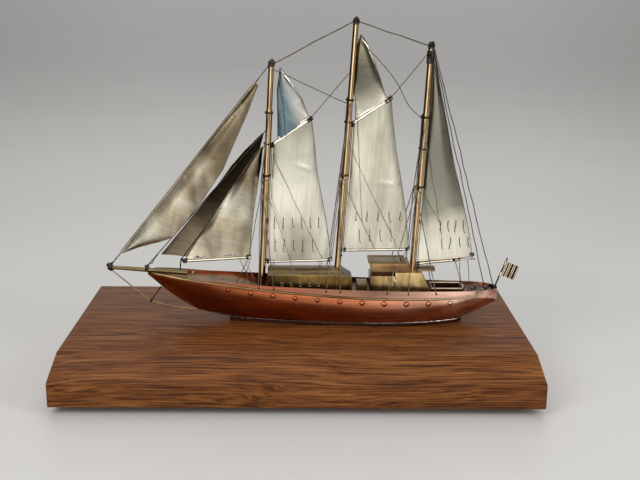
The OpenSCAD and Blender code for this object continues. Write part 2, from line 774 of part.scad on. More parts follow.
// Two wires from a boom that meet below it, given as [x, height] points
module bridle(a, low, b) {
    gap = 0.35;
    rod([a[0], 0, a[1]], [low[0] - gap, 0, low[1]], line_d);
    rod([b[0], 0, b[1]], [low[0] + gap, 0, low[1]], line_d);
}

// Sheets below the booms and lifts above them
module sheets_and_lifts() {
    color("#6f6a60") on_ship() {
        for (side = [-1, 1])
            rod([-38 + 3.4 * side, 0.5 * side, 44.2],
                [-38 - 5 * side, 0.5 * side, deck_z(-38 - 5 * side) - 0.1], line_d);
        rod([-34.6, -0.9, 45.2], lower_face(FORE, 100, -1) - [0, 0.9, 0], line_d);
        bridle([12.6, 43], [14.4, 38], [16.2, 43.2]);
        bridle([67, 51], [70.6, 44.2], [74.6, 51.2]);
        bridle([108, 44], [113.6, deck_h - 0.2], [111.4, 44.4]);
        rod([117, 0, 45], [119, 0, deck_h - 0.2], line_d);
        rod([22.4, 0, 44.3], lower_face(MAIN, 82, -1), line_d);
        rod([75.8, 0, 52.2], lower_face(MIZZEN, 82, -1), line_d);
    }
}

// ---- ensign ----

module flag_staff() {
    color("#5a5040") on_ship() rod(STAFF[0], STAFF[1], staff_d);
}

// A corrugated brass flag on two small tubes that turn on the staff
module ensign() {
    tube_d = staff_d + 2 * (turn_gap + tube_wall);
    start = tube_d / 2 - 0.3;
    steps = 24;
    near_face = [for (i = [0 : steps])
        let (u = i / steps) [start + u * flag_fly, flag_wave * sin(360 * flag_waves * u)]];
    far_face = [for (i = [steps : -1 : 0])
        let (u = i / steps) [start + u * flag_fly, flag_wave * sin(360 * flag_waves * u) + flag_t]];
    color("#b59a5c") on_ship() along(STAFF[0], STAFF[1]) translate([0, 0, flag_foot])
        difference() {
            union() {
                translate([0, -flag_t / 2, 0]) linear_extrude(height = flag_hoist)
                    polygon(concat(near_face, far_face));
                for (z = [0, flag_hoist - 2.5]) translate([0, 0, z])
                    cylinder(h = 2.5, d = tube_d, $fn = round_fn);
            }
            translate([0, 0, -1])
                cylinder(h = flag_hoist + 2, d = staff_d + 2 * turn_gap, $fn = round_fn);
        }
}

base_board();
feet();
mounting_screws();
mounting_nuts();
bottom_plate();
hull_port();
hull_starboard();
solder_seam();
deck_plate();
rub_rail_port();
rub_rail_starboard();
hull_portlights();
bowsprit();
bobstay();
dolphin_striker();
staysail_post();
forward_deckhouse();
deckhouse_portlights();
deck_hatch();
midship_cabin();
aft_cabin();
charthouse_plinth();
charthouse();
charthouse_roof();
companion_hood();
cockpit_well();
fore_lower_mast();
fore_topmast();
main_lower_mast();
main_topmast();
mizzen_lower_mast();
mizzen_topmast();
mast_caps();
crosstrees();
fore_gaff();
main_gaff();
staysail_boom();
fore_boom();
main_boom();
mizzen_boom();
flying_jib();
jib_tubes();
inner_jib();
staysail();
fore_sail();
fore_topsail();
main_sail();
main_topsail();
mizzen_sail();
reef_points();
outer_forestay();
inner_forestays();
spring_stays();
fore_shrouds();
main_shrouds();
mizzen_shrouds();
backstays();
sheets_and_lifts();
flag_staff();
ensign();
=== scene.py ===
# Looks for the model sailing ship. Lengths in the tables below are millimetres in the
# ship frame: x towards the stern, y towards starboard, z above the board's top face.
import math

import bmesh
import bpy
from mathutils import Matrix, Vector, noise


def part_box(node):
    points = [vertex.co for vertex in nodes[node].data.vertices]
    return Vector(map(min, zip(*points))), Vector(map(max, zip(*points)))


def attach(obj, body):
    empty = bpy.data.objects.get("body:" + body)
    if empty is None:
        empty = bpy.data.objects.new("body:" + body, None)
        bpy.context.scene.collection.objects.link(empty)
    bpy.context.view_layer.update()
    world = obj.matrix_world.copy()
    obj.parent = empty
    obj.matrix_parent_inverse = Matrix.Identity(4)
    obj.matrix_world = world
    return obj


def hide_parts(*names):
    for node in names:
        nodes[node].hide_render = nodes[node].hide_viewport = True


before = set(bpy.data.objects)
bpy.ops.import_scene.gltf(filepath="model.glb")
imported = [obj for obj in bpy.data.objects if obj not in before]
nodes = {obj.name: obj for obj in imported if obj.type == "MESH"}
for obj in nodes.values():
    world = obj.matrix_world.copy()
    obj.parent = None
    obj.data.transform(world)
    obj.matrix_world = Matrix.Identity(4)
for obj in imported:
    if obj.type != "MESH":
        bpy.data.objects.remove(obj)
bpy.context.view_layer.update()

MM = 0.001
board_low, board_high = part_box("base_board")
plate_low, plate_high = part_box("bottom_plate")
BOARD_TOP = board_high.z
SHIP_Y = (plate_low.y + plate_high.y) / 2


def at(x, y, z):
    """A ship-frame point in millimetres as a row-frame point in metres."""
    return Vector((x * MM, y * MM + SHIP_Y, z * MM + BOARD_TOP))


def lerp(a, b, t):
    return a + (b - a) * t


def clamp01(t):
    return max(0.0, min(1.0, t))


def rand(seed, salt=0.0):
    """A repeatable number from -1 to 1."""
    v = math.sin(seed * 12.9898 + salt * 78.233 + 4.1) * 43758.5453
    return 2 * (v - math.floor(v)) - 1


# ---- materials ----


def new_material(name, metallic=0.0):
    m = bpy.data.materials.new(name)
    m.use_nodes = True
    tree = m.node_tree
    shader = tree.nodes["Principled BSDF"]
    shader.inputs["Metallic"].default_value = metallic
    return m, tree, shader


def link(tree, a, b):
    tree.links.new(a, b)


def add_node(tree, kind, inputs, **settings):
    """A new shader node. An input given as a socket is linked, and any other is set."""
    n = tree.nodes.new("ShaderNode" + kind)
    for key, value in settings.items():
        setattr(n, key, value)
    for key, value in inputs.items():
        if isinstance(value, bpy.types.NodeSocket):
            link(tree, value, n.inputs[key])
        else:
            n.inputs[key].default_value = value
    return n


def object_coords(tree):
    return tree.nodes.new("ShaderNodeTexCoord").outputs["Object"]


def coords(tree, scale=(1, 1, 1), lean=0):
    """Object coordinates scaled along the axes, which may lean round the y axis."""
    inputs = {"Vector": object_coords(tree), "Scale": scale}
    if not lean:
        return add_node(tree, "Mapping", inputs).outputs["Vector"]
    inputs.update({"Rotation": (0, lean, 0), "Scale": [1 / k for k in scale]})
    return add_node(tree, "Mapping", inputs, vector_type="TEXTURE").outputs["Vector"]


def noise_node(tree, vector, scale=1.0, detail=6.0, rough=0.6, distortion=0.0):
    return add_node(tree, "TexNoise", {"Vector": vector, "Scale": scale, "Detail": detail,
                                       "Roughness": rough, "Distortion": distortion}).outputs["Fac"]


def ramp(tree, fac, stops):
    r = add_node(tree, "ValToRGB", {"Fac": fac})
    elements = r.color_ramp.elements
    elements[0].position, elements[0].color = stops[0][0], (*stops[0][1], 1)
    elements[1].position, elements[1].color = stops[-1][0], (*stops[-1][1], 1)
    for place, color in stops[1:-1]:
        elements.new(place).color = (*color, 1)
    return r.outputs["Color"]


def mix(tree, fac, a, b, blend="MIX"):
    """Colors a and b mixed; each is a socket or (red, green, blue)."""
    a, b = [(*c, 1) if isinstance(c, tuple) else c for c in (a, b)]
    return add_node(tree, "Mix", {0: fac, 6: a, 7: b}, data_type="RGBA", blend_type=blend).outputs[2]


def map_range(tree, value, a, b, c, d):
    return add_node(tree, "MapRange", {"Value": value, "From Min": a, "From Max": b,
                                       "To Min": c, "To Max": d}).outputs["Result"]


def math_node(tree, operation, *values):
    return add_node(tree, "Math", dict(enumerate(values)), operation=operation).outputs["Value"]


def vector_node(tree, operation, output, *values):
    return add_node(tree, "VectorMath", dict(enumerate(values)), operation=operation).outputs[output]


def bump(tree, shader, height, strength, distance):
    b = add_node(tree, "Bump", {"Height": height, "Strength": strength, "Distance": distance})
    link(tree, b.outputs["Normal"], shader.inputs["Normal"])


def finish_color(tree, shader, color, shade, rough, shade_range=(0.25, 0.75)):
    """Color, and a roughness that follows a shade of noise."""
    link(tree, color, shader.inputs["Base Color"])
    link(tree, map_range(tree, shade, *shade_range, *rough), shader.inputs["Roughness"])


def metal(name, dark, light, tarnish, rough, scale, patch=45.0, patchy=0.5):
    """Brushed sheet or drawn metal: streaks along one direction, patches of tarnish."""
    m, tree, shader = new_material(name, 1.0)
    streak = noise_node(tree, coords(tree, scale), 1.0, 7, 0.62)
    body = ramp(tree, streak, [(0.3, dark), (0.7, light)])
    cloud = noise_node(tree, coords(tree), patch, 4, 0.55, 0.4)
    amount = map_range(tree, cloud, 0.45, 0.75, 0, patchy)
    finish_color(tree, shader, mix(tree, amount, body, tarnish), streak, rough)
    bump(tree, shader, streak, 0.35, 0.00008)
    return m


def gradient(tree, a, b, wander):
    """0 at ship-frame point a and 1 at b, both [x, z], with a little wandering."""
    start, end = at(a[0], 0, a[1]), at(b[0], 0, b[1])
    way = end - start
    shift = vector_node(tree, "SUBTRACT", "Vector", object_coords(tree), start)
    along = vector_node(tree, "DOT_PRODUCT", "Value", shift, way / way.length_squared)
    cloud = noise_node(tree, coords(tree), 32, 2, 0.5)
    moved = math_node(tree, "MULTIPLY_ADD", cloud, wander * 2, along)
    return math_node(tree, "SUBTRACT", moved, wander)


def sheet_metal(name, ends, stops, rough, scale, lean, streaky, wander, relief=0.06,
                blotch=None):
    """Thin brushed sheet whose color changes along a ramp from one end to the other; its brush marks
    lean by an angle in radians, and blotch is the scale and depth of darker patches."""
    m, tree, shader = new_material(name, 1.0)
    base = ramp(tree, gradient(tree, *ends, wander), stops)
    streak = noise_node(tree, coords(tree, scale, lean), 1.0, 6, 0.6)
    low = 1 - streaky
    tone = ramp(tree, streak, [(0.32, (low, low, low * 0.96)), (0.66, (1, 1, 1))])
    color = mix(tree, 1.0, base, tone, "MULTIPLY")
    if blotch:
        size, depth = blotch
        shade = noise_node(tree, coords(tree, size), 1.0, 3, 0.5, 0.5)
        low = 1 - depth
        soft = ramp(tree, shade, [(0.34, (low, low * 0.97, low * 0.92)), (0.6, (1, 1, 1))])
        color = mix(tree, 1.0, color, soft, "MULTIPLY")
    cloud = noise_node(tree, coords(tree), 40, 3, 0.5)
    finish_color(tree, shader, color, cloud, rough, (0.3, 0.7))
    bump(tree, shader, streak, relief, 0.00005)
    return m


def shaded_rod_metal(name, axis, stops, rough, patch=60.0, patchy=0.5):
    """Drawn rod with painted light and shade along it: the color changes round the rod, by the part of
    the surface direction that lies along the given axis, so the ramp paints shaded sides and
    highlights."""
    m, tree, shader = new_material(name, 1.0)
    normal = tree.nodes.new("ShaderNodeTexCoord").outputs["Normal"]
    parts = add_node(tree, "SeparateXYZ", {"Vector": normal}).outputs
    around = map_range(tree, parts[axis], -1, 1, 0, 1)
    long = (700, 700, 30) if axis == "X" else (30, 700, 700)
    streak = noise_node(tree, coords(tree, long), 1.0, 5, 0.6)
    moved = math_node(tree, "MULTIPLY_ADD", streak, 0.16, around)
    body = ramp(tree, math_node(tree, "SUBTRACT", moved, 0.08), stops)
    cloud = noise_node(tree, coords(tree), patch, 4, 0.55, 0.4)
    amount = map_range(tree, cloud, 0.5, 0.7, 0, patchy)
    finish_color(tree, shader, mix(tree, amount, body, (0.15, 0.06, 0.02)), streak, rough)
    return m


def wire_metal(name, dark, light, rough, patch=260.0):
    """Drawn wire with fine patches of light and dark."""
    m, tree, shader = new_material(name, 1.0)
    cloud = noise_node(tree, coords(tree), patch, 5, 0.6)
    color = ramp(tree, cloud, [(0.35, dark), (0.68, light)])
    finish_color(tree, shader, color, cloud, (rough[1], rough[0]), (0.3, 0.7))
    bump(tree, shader, cloud, 0.3, 0.0001)
    return m


def wood_material():
    """Straight-grained hardwood: long fine dark lines, broader figure, open pores."""
    m, tree, shader = new_material("oiled_hardwood")
    warp = noise_node(tree, coords(tree, (6, 22, 22)), 1.0, 3, 0.5)
    bent = vector_node(tree, "MULTIPLY_ADD", "Vector", warp, (0.0, 0.016, 0.016), object_coords(tree))

    def warped(scale):
        return add_node(tree, "Mapping", {"Vector": bent, "Scale": scale}).outputs["Vector"]

    grain = noise_node(tree, warped((20, 1000, 1000)), 1.0, 8, 0.66, 0.1)
    figure = noise_node(tree, warped((4, 150, 150)), 1.0, 4, 0.55, 0.2)
    fine = ramp(tree, grain, [(0.36, (0.038, 0.010, 0.002)), (0.45, (0.140, 0.045, 0.009)),
                              (0.55, (0.24, 0.085, 0.020)), (0.70, (0.38, 0.155, 0.048))])
    broad = ramp(tree, figure, [(0.32, (0.66, 0.60, 0.56)), (0.5, (0.88, 0.86, 0.84)),
                                (0.66, (1.0, 1.0, 1.0))])
    color = mix(tree, 0.85, fine, broad, "MULTIPLY")
    line = noise_node(tree, warped((10, 520, 520)), 1.0, 3, 0.5)
    color = mix(tree, map_range(tree, line, 0.335, 0.40, 0.8, 0.0), color, (0.042, 0.015, 0.007))
    pores = noise_node(tree, coords(tree, (90, 2600, 2600)), 1.0, 3, 0.5)
    color = mix(tree, map_range(tree, pores, 0.30, 0.42, 0.7, 0.0), color, (0.045, 0.017, 0.008))
    finish_color(tree, shader, color, grain, (0.5, 0.36), (0.3, 0.7))
    shader.inputs["Specular IOR Level"].default_value = 0.16
    bump(tree, shader, grain, 0.3, 0.0003)
    return m


def rubber_material():
    m, tree, shader = new_material("foot_pad")
    grit = noise_node(tree, coords(tree), 900, 4, 0.6)
    link(tree, ramp(tree, grit, [(0.3, (0.012, 0.011, 0.011)), (0.7, (0.04, 0.037, 0.035))]),
         shader.inputs["Base Color"])
    shader.inputs["Roughness"].default_value = 0.8
    bump(tree, shader, grit, 0.4, 0.0002)
    return m


wood = wood_material()
rubber = rubber_material()
# The hull's ramp is painted light: dark forward where the copper shows a painted reflection of the
# board and dark room, a painted pink highlight towards the stern
copper = sheet_metal("hull_copper", ((-75, 20), (140, 20)), [
    (0.0, (0.42, 0.12, 0.046)), (0.3, (0.53, 0.155, 0.06)), (0.58, (0.53, 0.19, 0.095)),
    (0.76, (0.68, 0.32, 0.21)), (0.86, (1.0, 0.64, 0.50)), (0.96, (0.98, 0.60, 0.47)),
    (1.0, (0.5, 0.2, 0.13))],
    (0.2, 0.3), (12, 420, 420), 0, 0.42, 0.1, 0.3)
# The bulwark's ramp is painted light: a painted red reflection at the bow, painted shade amidships and
# a painted highlight aft
bulwark_copper = sheet_metal("bulwark_copper", ((-75, 26), (140, 26)), [
    (0.0, (0.58, 0.16, 0.09)), (0.3, (0.26, 0.09, 0.05)), (0.5, (0.25, 0.12, 0.075)),
    (0.6, (0.20, 0.10, 0.07)), (0.72, (0.46, 0.27, 0.205)), (0.88, (0.80, 0.50, 0.40)),
    (1.0, (0.30, 0.12, 0.075))],
    (0.2, 0.3), (12, 420, 420), 0, 0.45, 0.1, 0.3)
rim_copper = sheet_metal("port_rim_copper", ((-60, 20), (110, 20)), [
    (0.0, (0.36, 0.10, 0.045)), (0.45, (0.30, 0.09, 0.045)), (0.7, (0.16, 0.05, 0.03)),
    (1.0, (0.14, 0.045, 0.028))],
    (0.3, 0.4), (60, 60, 60), 0, 0.3, 0.1, 0.2)
# Near-black copper: dark patina, darkened further as painted shade under the hull and in recesses
dark_copper = metal("dark_copper", (0.05, 0.018, 0.010), (0.12, 0.05, 0.03), (0.02, 0.012, 0.01),
                    (0.35, 0.5), (30, 400, 400))
deck_brass = sheet_metal("deck_brass", ((-80, 20), (135, 20)), [
    (0.0, (0.38, 0.23, 0.08)), (0.2, (0.40, 0.22, 0.08)), (0.32, (0.20, 0.09, 0.035)),
    (0.7, (0.24, 0.12, 0.055)), (0.8, (0.26, 0.105, 0.06)), (1.0, (0.20, 0.085, 0.05))],
    (0.24, 0.4), (20, 400, 400), 0, 0.4, 0.1, 0.2, ((60, 110, 60), 0.6))
house_brass = sheet_metal("house_brass", ((-22, 28), (95, 28)), [
    (0.0, (0.13, 0.075, 0.025)), (0.12, (0.30, 0.19, 0.07)), (0.4, (0.34, 0.195, 0.06)),
    (0.6, (0.18, 0.10, 0.034)), (0.74, (0.80, 0.58, 0.27)), (1.0, (0.66, 0.46, 0.19))],
    (0.26, 0.4), (400, 400, 60), 0, 0.4, 0.08, 0.3, ((110, 110, 60), 0.6))
grey_brass = metal("grey_brass", (0.17, 0.125, 0.06), (0.30, 0.235, 0.125), (0.10, 0.06, 0.025),
                   (0.3, 0.44), (60, 500, 500), 110, 0.6)
pink_brass = metal("pink_brass", (0.17, 0.085, 0.035), (0.46, 0.28, 0.125), (0.10, 0.045, 0.02),
                   (0.26, 0.4), (50, 500, 200), 120, 0.6)
rail_brass = sheet_metal("rail_brass", ((-101, 22), (122, 22)), [
    (0.0, (0.58, 0.41, 0.19)), (0.3, (0.46, 0.31, 0.135)), (0.58, (0.28, 0.165, 0.07)),
    (0.76, (0.52, 0.35, 0.17)), (0.92, (1.0, 0.84, 0.56)), (1.0, (1.0, 0.88, 0.62))],
    (0.16, 0.28), (25, 700, 700), 0, 0.35, 0.1, 0.15, ((50, 50, 50), 0.4))
# Ramps for the rods' painted light: the dark color is painted shade down a rod's sides, the pale one a
# painted highlight
ROD_SHADE, GOLD, ROD_HIGHLIGHT = (0.05, 0.024, 0.010), (0.60, 0.37, 0.14), (0.98, 0.80, 0.52)
# Masts: painted shade at both sides, a painted highlight, a painted dark line and a second painted
# highlight
mast_brass = shaded_rod_metal("mast_brass", "X", [
    (0.0, ROD_SHADE), (0.18, ROD_SHADE), (0.27, (0.34, 0.19, 0.07)), (0.34, GOLD), (0.46, ROD_HIGHLIGHT),
    (0.56, GOLD), (0.62, (0.18, 0.09, 0.03)), (0.70, GOLD), (0.80, (0.84, 0.62, 0.33)),
    (0.87, GOLD), (0.93, ROD_SHADE), (1.0, ROD_SHADE)],
    (0.14, 0.24))
# Spars: painted dark above and below, with a painted highlight along the middle
spar_brass = shaded_rod_metal("spar_brass", "Z", [
    (0.0, ROD_SHADE), (0.14, ROD_SHADE), (0.22, (0.8, 0.66, 0.42)), (0.4, (1.0, 0.95, 0.80)),
    (0.66, (1.0, 0.95, 0.80)), (0.78, (0.8, 0.66, 0.42)), (0.86, ROD_SHADE), (1.0, ROD_SHADE)],
    (0.16, 0.26), 80, 0.3)
# Rolled edges: painted shade at the sides and a painted highlight in the middle
roll_brass = shaded_rod_metal("roll_brass", "X", [
    (0.0, ROD_SHADE), (0.12, ROD_SHADE), (0.24, (0.5, 0.38, 0.2)), (0.5, (1.0, 0.93, 0.76)),
    (0.8, (0.7, 0.6, 0.42)), (0.92, ROD_SHADE), (1.0, ROD_SHADE)],
    (0.16, 0.26), 80, 0.3)
olive_brass = metal("olive_brass", (0.17, 0.125, 0.055), (0.38, 0.30, 0.155), (0.08, 0.05, 0.02),
                    (0.24, 0.4), (30, 700, 700), 70, 0.6)
FINE = (26, 700, 700)
# The fore and main sails' ramps are painted light: darker towards the head, painted bright lower down
fore_brass = sheet_metal("fore_sail_brass", ((-8, 136), (6, 44)), [
    (0.0, (0.40, 0.40, 0.325)), (0.25, (0.60, 0.595, 0.49)), (0.45, (1.0, 0.97, 0.85)),
    (0.72, (0.98, 0.94, 0.82)), (1.0, (0.74, 0.70, 0.60))],
    (0.22, 0.32), (600, 600, 18), 0.05, 0.18, 0.2, 0.06, ((34, 34, 15), 0.42))
main_brass = sheet_metal("main_sail_brass", ((44, 150), (54, 54)), [
    (0.0, (0.46, 0.455, 0.365)), (0.3, (0.76, 0.73, 0.60)), (0.55, (1.0, 0.96, 0.83)),
    (1.0, (1.0, 0.96, 0.84))],
    (0.22, 0.32), (600, 600, 18), 0.05, 0.18, 0.2, 0.06, ((30, 30, 13), 0.36))
# The flying jib's ramp is painted light: a painted highlight near the tack and a painted dark band
# across its middle
jib_brass = sheet_metal("jib_brass", ((-24, 160), (-112, 56)), [
    (0.0, (0.36, 0.29, 0.20)), (0.28, (0.42, 0.345, 0.235)), (0.5, (0.31, 0.245, 0.155)),
    (0.66, (0.80, 0.72, 0.57)), (0.76, (0.60, 0.51, 0.37)), (1.0, (1.0, 0.96, 0.82))],
    (0.2, 0.3), FINE, 0.4, 0.24, 0.3, 0.06, ((60, 60, 22), 0.5))
# The staysail's ramp is painted light: painted shade towards the head and a painted bright band lower
# down
staysail_brass = sheet_metal("staysail_brass", ((-36, 120), (-62, 44)), [
    (0.0, (0.20, 0.16, 0.11)), (0.34, (0.52, 0.44, 0.31)), (0.56, (1.0, 0.97, 0.84)),
    (0.74, (0.62, 0.54, 0.39)), (1.0, (0.86, 0.78, 0.61))],
    (0.2, 0.3), FINE, 0.25, 0.24, 0.3, 0.06, ((70, 70, 30), 0.45))
# The inner jib is painted almost black as painted shade, lightening towards its lower forward part
shaded_jib_brass = sheet_metal("shaded_jib_brass", ((-40, 100), (-78, 72)), [
    (0.0, (0.016, 0.011, 0.007)), (0.5, (0.03, 0.022, 0.014)), (0.8, (0.09, 0.068, 0.043)),
    (1.0, (0.24, 0.19, 0.125))],
    (0.24, 0.34), FINE, 0.3, 0.35, 0.2)
blue_brass = sheet_metal("blue_tinted_brass", ((-15, 140), (5, 147)), [
    (0.0, (0.13, 0.22, 0.27)), (0.45, (0.18, 0.25, 0.28)), (0.66, (0.42, 0.43, 0.40)),
    (1.0, (0.80, 0.77, 0.69))],
    (0.18, 0.28), (20, 420, 420), 0.75, 0.3, 0.3)
top_brass = sheet_metal("topsail_brass", ((40, 190), (56, 150)), [
    (0.0, (0.22, 0.21, 0.14)), (0.3, (0.14, 0.13, 0.098)), (0.6, (0.22, 0.205, 0.16)),
    (0.85, (0.55, 0.52, 0.42)), (1.0, (0.72, 0.69, 0.58))],
    (0.18, 0.28), (22, 420, 420), 0.1, 0.25, 0.2)
# The mizzen's ramp is painted light: darker at the head and a painted bright reflection towards its
# lower after corner
green_brass = sheet_metal("mizzen_brass", ((88, 150), (118, 62)), [
    (0.0, (0.26, 0.24, 0.19)), (0.55, (0.28, 0.275, 0.222)), (0.74, (0.38, 0.37, 0.30)),
    (0.84, (0.80, 0.76, 0.64)), (1.0, (0.97, 0.94, 0.82))],
    (0.22, 0.32), (600, 600, 20), -0.15, 0.14, 0.12)
seam_solder = sheet_metal("seam_solder", ((-70, 3), (112, 3)), [
    (0.0, (0.05, 0.035, 0.03)), (0.55, (0.12, 0.10, 0.10)), (0.72, (0.30, 0.29, 0.30)),
    (0.8, (0.85, 0.85, 0.88)), (1.0, (0.62, 0.61, 0.62))],
    (0.2, 0.34), (60, 60, 60), 0, 0.5, 0.2, 0.3)
hem_brass = wire_metal("hem_brass", (0.05, 0.035, 0.02), (0.34, 0.28, 0.19), (0.22, 0.4), 120)
# The ensign's stripes are painted light: the ramp follows each wave's slope, painted shade on one flank
# and a painted highlight on the other
flag_brass = shaded_rod_metal("flag_brass", "X", [
    (0.0, (0.10, 0.06, 0.03)), (0.2, (0.42, 0.31, 0.17)), (0.32, (1.0, 0.92, 0.74)),
    (0.6, (1.0, 0.95, 0.82)), (0.72, (0.62, 0.50, 0.32)), (0.84, (0.26, 0.17, 0.09)),
    (1.0, (0.12, 0.07, 0.035))],
    (0.14, 0.24), 170, 0.5)
solder = wire_metal("bright_solder", (0.30, 0.30, 0.31), (0.86, 0.86, 0.87), (0.18, 0.4), 340)
black_wire = wire_metal("black_wire", (0.018, 0.015, 0.013), (0.13, 0.115, 0.10), (0.3, 0.5))
dull_wire = wire_metal("dull_wire", (0.10, 0.085, 0.07), (0.42, 0.38, 0.31), (0.25, 0.42))
pale_brass = wire_metal("pale_brass", (0.62, 0.50, 0.28), (1.0, 0.92, 0.70), (0.14, 0.24))

# ---- mesh helpers ----


def place_object(name, data):
    """A new object in the scene."""
    obj = bpy.data.objects.new(name, data)
    bpy.context.scene.collection.objects.link(obj)
    return obj


def paint(node_name, material):
    """Gives a CAD node its finish; the node keeps its shape."""
    materials = nodes[node_name].data.materials
    materials.clear()
    materials.append(material)


def mesh_piece(name, verts, faces, material, angle=35, replaces=(), slot=None, body="ship"):
    mesh = bpy.data.meshes.new(name)
    mesh.from_pydata([tuple(v) for v in verts], [], faces)
    mesh.validate()
    bm = bmesh.new()
    bm.from_mesh(mesh)
    bmesh.ops.recalc_face_normals(bm, faces=bm.faces)
    bm.to_mesh(mesh)
    bm.free()
    for p in mesh.polygons:
        p.use_smooth = True
    mesh.set_sharp_from_angle(angle=math.radians(angle))
    mesh.materials.append(material)
    obj = place_object(name, mesh)
    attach(obj, body)
    if replaces:
        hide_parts(*replaces)
    return obj


def ring_faces(rows, cols, start=0):
    """Faces round a stack of rings of points, with both ends closed."""
    faces = []
    for i in range(rows - 1):
        for j in range(cols):
            k = (j + 1) % cols
            a, b = start + i * cols, start + (i + 1) * cols
            faces.append((a + j, b + j, b + k, a + k))
    faces.append(tuple(start + j for j in range(cols)))
    faces.append(tuple(start + (rows - 1) * cols + j for j in reversed(range(cols))))
    return faces


def plate_faces(cols, rows):
    """Faces of a thin plate whose points are a front grid, row by row, and then a back grid."""
    w = cols + 1
    n = w * (rows + 1)
    faces = []
    for i in range(rows):
        for j in range(cols):
            a = i * w + j
            faces.append((a, a + 1, a + w + 1, a + w))
            faces.append((n + a, n + a + w, n + a + w + 1, n + a + 1))
    rim = list(range(w)) + [i * w + cols for i in range(1, rows + 1)]
    rim += [rows * w + j for j in range(cols - 1, -1, -1)] + [i * w for i in range(rows - 1, 0, -1)]
    return faces + [(a, n + a, n + b, b) for a, b in zip(rim, rim[1:] + rim[:1])]


def bevelled(bm, offset):
    """The points and faces of a mesh after its edges are rounded."""
    bmesh.ops.bevel(bm, geom=list(bm.edges), offset=offset * MM, segments=3, profile=0.5,
                    affect="EDGES")
    verts = [v.co.copy() for v in bm.verts]
    faces = [tuple(v.index for v in f.verts) for f in bm.faces]
    bm.free()
    return verts, faces


def circle(n):
    """The cosine and sine of n angles round a circle."""
    return [(math.cos(2 * math.pi * j / n), math.sin(2 * math.pi * j / n)) for j in range(n)]


def sweep_into(store, path, radii, sides=10):
    """Adds a round bar along a path of points, with domed ends, to store [verts, faces]; radii
    holds one radius for each point."""
    verts, faces = store
    rings = []
    tangent = (path[1] - path[0]).normalized()
    side = tangent.orthogonal().normalized()
    for i, point in enumerate(path):
        a, b = path[max(0, i - 1)], path[min(len(path) - 1, i + 1)]
        t = (b - a).normalized()
        side = tangent.rotation_difference(t) @ side
        tangent = t
        other = t.cross(side).normalized()
        side = other.cross(t).normalized()
        rings.append((point, t, side.copy(), other, radii[i]))

    def dome(ring, way):
        """Three smaller rings that close one end."""
        p, t, s, o, r = ring
        return [(p + t * r * k * 0.6 * way, t, s, o, r * math.sqrt(max(0.02, 1 - k * k)))
                for k in (0.4, 0.75, 0.98)]

    rings = dome(rings[0], -1)[::-1] + rings + dome(rings[-1], 1)
    start = len(verts)
    for p, t, s, o, r in rings:
        verts += [p + (s * c + o * d) * r for c, d in circle(sides)]
    faces += ring_faces(len(rings), sides, start)


def smooth_path(points, steps=6):
    """Catmull-Rom curve through the points."""
    p = [Vector(v) for v in points]
    if len(p) < 3:
        return p
    ends = [2 * p[0] - p[1]] + p + [2 * p[-1] - p[-2]]
    out = []
    for i in range(1, len(ends) - 2):
        a, b, c, d = ends[i - 1:i + 3]
        for k in range(steps):
            t = k / steps
            out.append(0.5 * ((2 * b) + (c - a) * t + (2 * a - 5 * b + 4 * c - d) * t * t
                              + (3 * b - a - 3 * c + d) * t ** 3))
    out.append(p[-1])
    return out


def wire_path(points, wobble=0.12, seed=1.0, per=9.0):
    """A hand-drawn wire through ship-frame points: almost straight, with small kinks."""
    out = []
    pts = [Vector(p) for p in points]
    for i in range(len(pts) - 1):
        a, b = pts[i], pts[i + 1]
        n = max(2, int((b - a).length / per))
        for k in range(n):
            t = k / n
            w = wobble * math.sin(math.pi * t) if len(pts) == 2 else wobble * min(1, 4 * t * (1 - t))
            kink = (rand(seed, i * 31 + k), rand(seed, i * 17 + k + 0.5), rand(seed, k + 0.2))
            out.append(a.lerp(b, t) + Vector(kink) * w)
    out.append(pts[-1])
    return [at(*p) for p in out]


def curve(points, steps=6):
    """A smooth wire through ship-frame points."""
    return [at(*p) for p in smooth_path(points, steps)]


def coil_path(centre, axis, radius, turns, pitch, wide=0.0, side=(0, 1, 0), per=10):
    """A helix of wire round an axis; wide stretches it into an oval along side."""
    axis = Vector(axis).normalized()
    s = Vector(side)
    s = (s - axis * s.dot(axis)).normalized()
    o = axis.cross(s)
    out = []
    for i in range(int(turns * per) + 1):
        a = 2 * math.pi * i / per
        c = math.cos(a)
        stretch = wide * (1 if c > 0 else -1) * min(1, abs(c) * 2.2)
        out.append(Vector(centre) + s * (c * radius + stretch) + o * math.sin(a) * radius
                   + axis * (i / per - turns / 2) * pitch)
    return [at(*p) for p in out]


def tangle(centre, size, seed, turns=3.0, n=26):
    """A small knot: a wire wound a few times round a wandering axis."""
    out = []
    for i in range(n + 1):
        t = i / n
        a = 2 * math.pi * turns * t
        out.append(Vector(centre) + Vector((
            math.cos(a) * size * (0.6 + 0.4 * rand(seed, i)),
            math.sin(a * 0.7 + seed) * size * 0.7,
            math.sin(a) * size * (0.6 + 0.4 * rand(seed, i + 9)))))
    return curve(out, 3)


def straight(a, b, n):
    """n + 1 evenly spaced points from a to b, given in the ship frame."""
    a, b = Vector(a), Vector(b)
    return [at(*a.lerp(b, i / n)) for i in range(n + 1)]


def bars(name, items, material, sides=8, **kw):
    """One piece made of many round bars: items are (row-frame path, radius or radii in mm)."""
    store = [[], []]
    for path, radii in items:
        if not hasattr(radii, "__len__"):
            radii = [radii] * len(path)
        sweep_into(store, path, [q * MM for q in radii], sides)
    return mesh_piece(name, *store, material, angle=60, **kw)


# ---- board and feet ----

# How far the board's bevel reaches down, in from each end and in from each side
BEVEL_TOP, BEVEL_END, BEVEL_SIDE = 18.9 * MM, 6.3 * MM, 8.0 * MM
FOOT_R = 7 * MM
FOOT_PROFILE = [(0.02, 0.0), (0.80, 0.0), (0.95, 0.05), (1.0, 0.16), (1.0, 0.86), (0.97, 1.0),
                (0.02, 1.0)]


